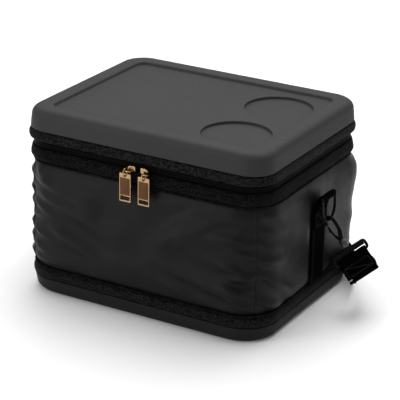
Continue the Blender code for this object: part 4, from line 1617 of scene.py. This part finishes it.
def make_d_ring_piece(side, s):
    corner = 0.0030
    flat = [(-D_HALF + corner, 0.0), (0.0, 0.0), (D_HALF - corner, 0.0)]
    for k in range(1, 5):
        a = math.radians(90 - 90 * k / 4)
        flat.append((D_HALF - corner + corner * math.cos(a), corner - corner * math.sin(a)))
    for k in range(25):
        a = math.radians(180 * k / 24)
        flat.append((D_HALF * math.cos(a), D_DROP - 0.020 + 0.020 * math.sin(a)))
    for k in range(4):
        a = math.radians(90 * k / 4)
        flat.append((-D_HALF + corner - corner * math.cos(a), corner - corner * math.sin(a)))
    line = [
        Vector((s * (BAR_X + math.sin(D_LEAN) * d), SIDE_Y + y, BAR_Z - math.cos(D_LEAN) * d))
        for y, d in flat
    ]
    ring = wire("d_ring_wire_" + side, line, D_WIRE * 1.12, black_metal, cyclic=True, sides=5)
    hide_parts("d_ring_" + side)
    dress(ring, "side_ring_" + side)


def make_hook_piece(side, s):
    start, down, out, across = hook_frame(side, s)
    flat = [
        (0.0295, 0.0), (0.0268, 0.0002), (0.0240, 0.0018), (0.0205, 0.0036), (0.0165, 0.0052),
        (0.0120, 0.0060), (0.0070, 0.0060),
    ]
    thick = [1.25, 1.45, 1.55, 1.50, 1.38, 1.28, 1.22]
    for k in range(13):
        a = math.radians(180 * k / 12)
        flat.append((0.00205 - 0.0060 * math.sin(a), 0.0060 * math.cos(a)))
        thick.append(1.2 - 0.02 * k)
    flat.append((0.0042, -0.0060))
    thick.append(0.92)
    line = smooth_line([start + down * a + out * b for a, b in flat], 2)
    radii = [v.x for v in smooth_line([(t, 0, 0) for t in thick], 2)]
    hook = wire("clip_hook_" + side, line, 0.0019, black_metal, sides=5, radii=radii)
    profile = [
        (0.0, 0.0028), (0.06, 0.0040), (0.16, 0.0047), (0.42, 0.0047), (0.46, 0.0041),
        (0.54, 0.0041), (0.58, 0.0047), (0.88, 0.0047), (1.0, 0.0038),
    ]
    barrel = turned_rod("barrel", start + down * BARREL[0], start + down * BARREL[1], profile, barrel_metal)
    low, high = start + down * 0.0200 - out * 0.0040, start + down * 0.0268 - out * 0.0016
    spur = turned_rod("spur", low, high, [(0.0, 0.0012), (0.2, 0.0017), (1.0, 0.0021)], black_metal)
    hook = join("clip_hook_" + side, [hook, barrel, spur])
    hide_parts("snap_hook_" + side)
    dress(hook, "hook_" + side)
    gate_flat = [
        (0.0062, -0.0060), (0.0100, -0.0058), (0.0150, -0.0055), (0.0195, -0.0048),
        (0.0222, -0.0042),
    ]
    gate_line = [start + down * a + out * b for a, b in gate_flat]
    gate = wire("clip_gate_" + side, smooth_line(gate_line, 3), 0.0014, black_metal, sides=4)
    knob_at = start + down * 0.0120 - out * 0.0066
    knob = turned_rod(
        "knob",
        knob_at,
        knob_at - out * 0.0022,
        [(0.0, 0.0011), (0.5, 0.0013), (1.0, 0.0010)],
        black_metal,
    )
    gate = join("clip_gate_" + side, [gate, knob])
    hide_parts("hook_gate_" + side)
    dress(gate, "gate_" + side)


def make_strap_ring_piece(side, s):
    start, down, _, across = hook_frame(side, s)
    half, corner = 0.0226, 0.0030
    top, low = BAR_TOP, BAR_LOW
    flat = []
    for ca, cb, first in (
        (top + corner, half - corner, 90),
        (low - corner, half - corner, 0),
        (low - corner, -half + corner, -90),
        (top + corner, -half + corner, -180),
    ):
        for k in range(6):
            a = math.radians(first - 18 * k)
            flat.append((ca - corner * math.sin(a), cb + corner * math.cos(a)))
    ring = wire(
        "strap_loop_" + side,
        [start + down * a + across * b for a, b in flat],
        0.0019,
        black_metal,
        cyclic=True,
        sides=5,
    )
    profile = [(0.0, 0.0026), (0.2, 0.0031), (0.7, 0.0031), (1.0, 0.0024)]
    collar = turned_rod(
        "collar",
        start + down * (BARREL[1] + 0.0003),
        start + down * BAR_TOP,
        profile,
        black_metal,
    )
    plate_rings = []
    for a, thin in (
        (BAR_TOP - 0.0016, 0.0010), (BAR_TOP - 0.0010, 0.0017), (BAR_LOW - 0.0056, 0.0017),
        (BAR_LOW - 0.0050, 0.0010),
    ):
        flat_ring = []
        for k in range(24):
            t = 2 * math.pi * k / 24
            b = 0.0205 * max(-1.0, min(1.0, 1.25 * math.cos(t)))
            n = thin * max(-1.0, min(1.0, 1.6 * math.sin(t)))
            flat_ring.append(start + down * a + across * b + across.cross(down) * n)
        plate_rings.append(flat_ring)
    plate = loft("plate", plate_rings, black_metal, cap_start=True, cap_end=True)
    smooth(plate, 40.0)
    ring = join("strap_loop_" + side, [ring, collar, plate])
    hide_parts("strap_ring_" + side)
    dress(ring, "swivel_" + side)


def make_strap_end_piece(side, s):
    """Webbing round the ring's lower bar, sewn back on itself with a stitched box."""
    start, down, _, across = hook_frame(side, s)
    normal = across.cross(down)
    leg = WEB_THICK / 2 + 0.0002
    wrap = 0.0019 + 0.0003 + WEB_THICK / 2
    far = BAR_LOW + 0.0230
    flat = [
        (far, leg), (far - 0.0005, leg), (far - 0.0060, leg), (BAR_LOW + 0.0110, leg),
        (BAR_LOW + 0.0060, leg + 0.0007),
    ]
    for k in range(9):
        a = math.radians(-20 + 220 * k / 8)
        flat.append((BAR_LOW - wrap * math.sin(a), wrap * math.cos(a)))
    flat += [
        (BAR_LOW + 0.0060, -leg - 0.0007), (BAR_LOW + 0.0110, -leg), (far - 0.0060, -leg),
        (far - 0.0005, -leg), (far, -leg),
    ]
    line = smooth_line([start + down * a + normal * b for a, b in flat], 3)
    end = webbing("strap_fold_" + side, line, [across] * len(line), WEB_WIDTH, WEB_THICK, strap_cloth)
    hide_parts("strap_end_" + side)
    dress(end, "swivel_" + side)
    rows = []
    for face in (-1, 1):
        height = face * (leg + WEB_THICK / 2 + 0.0001)
        corners = (
            (0.0085, -0.0165), (0.0085, 0.0165), (0.0205, 0.0165), (0.0205, -0.0165),
            (0.0085, -0.0165), (0.0205, 0.0165),
        )
        box_line = [start + down * (BAR_LOW + a) + across * b + normal * height for a, b in corners]
        rows.append(stitch_row("box", box_line, [normal * face] * len(box_line), thread, 0.0027))
    sewn = join("strap_stitches_" + side, rows)
    dress(sewn, "swivel_" + side)
    return end, sewn


seam_parts, ridge_parts = [], []
for kind, line, outs in seam_lines:
    if kind == "stitch":
        seam_parts.append(stitch_row("seam", line, outs, thread, 0.0034, (0.0024, 0.0005, 0.0006)))
    else:
        ridge_parts.append(wire("ridge", line, 0.0007, body_cloth, sides=3))
seam_stitches = join("corner_stitches", seam_parts)
dress(seam_stitches, "body")
seam_ridges = join("corner_ridges", ridge_parts)
dress(seam_ridges, "body")

for side, s in (("left", -1), ("right", 1)):
    make_side_strip(side, s)
    make_d_ring_piece(side, s)
    make_hook_piece(side, s)
    make_strap_ring_piece(side, s)
    make_strap_end_piece(side, s)
print("side hardware made")

bpy.context.view_layer.update()
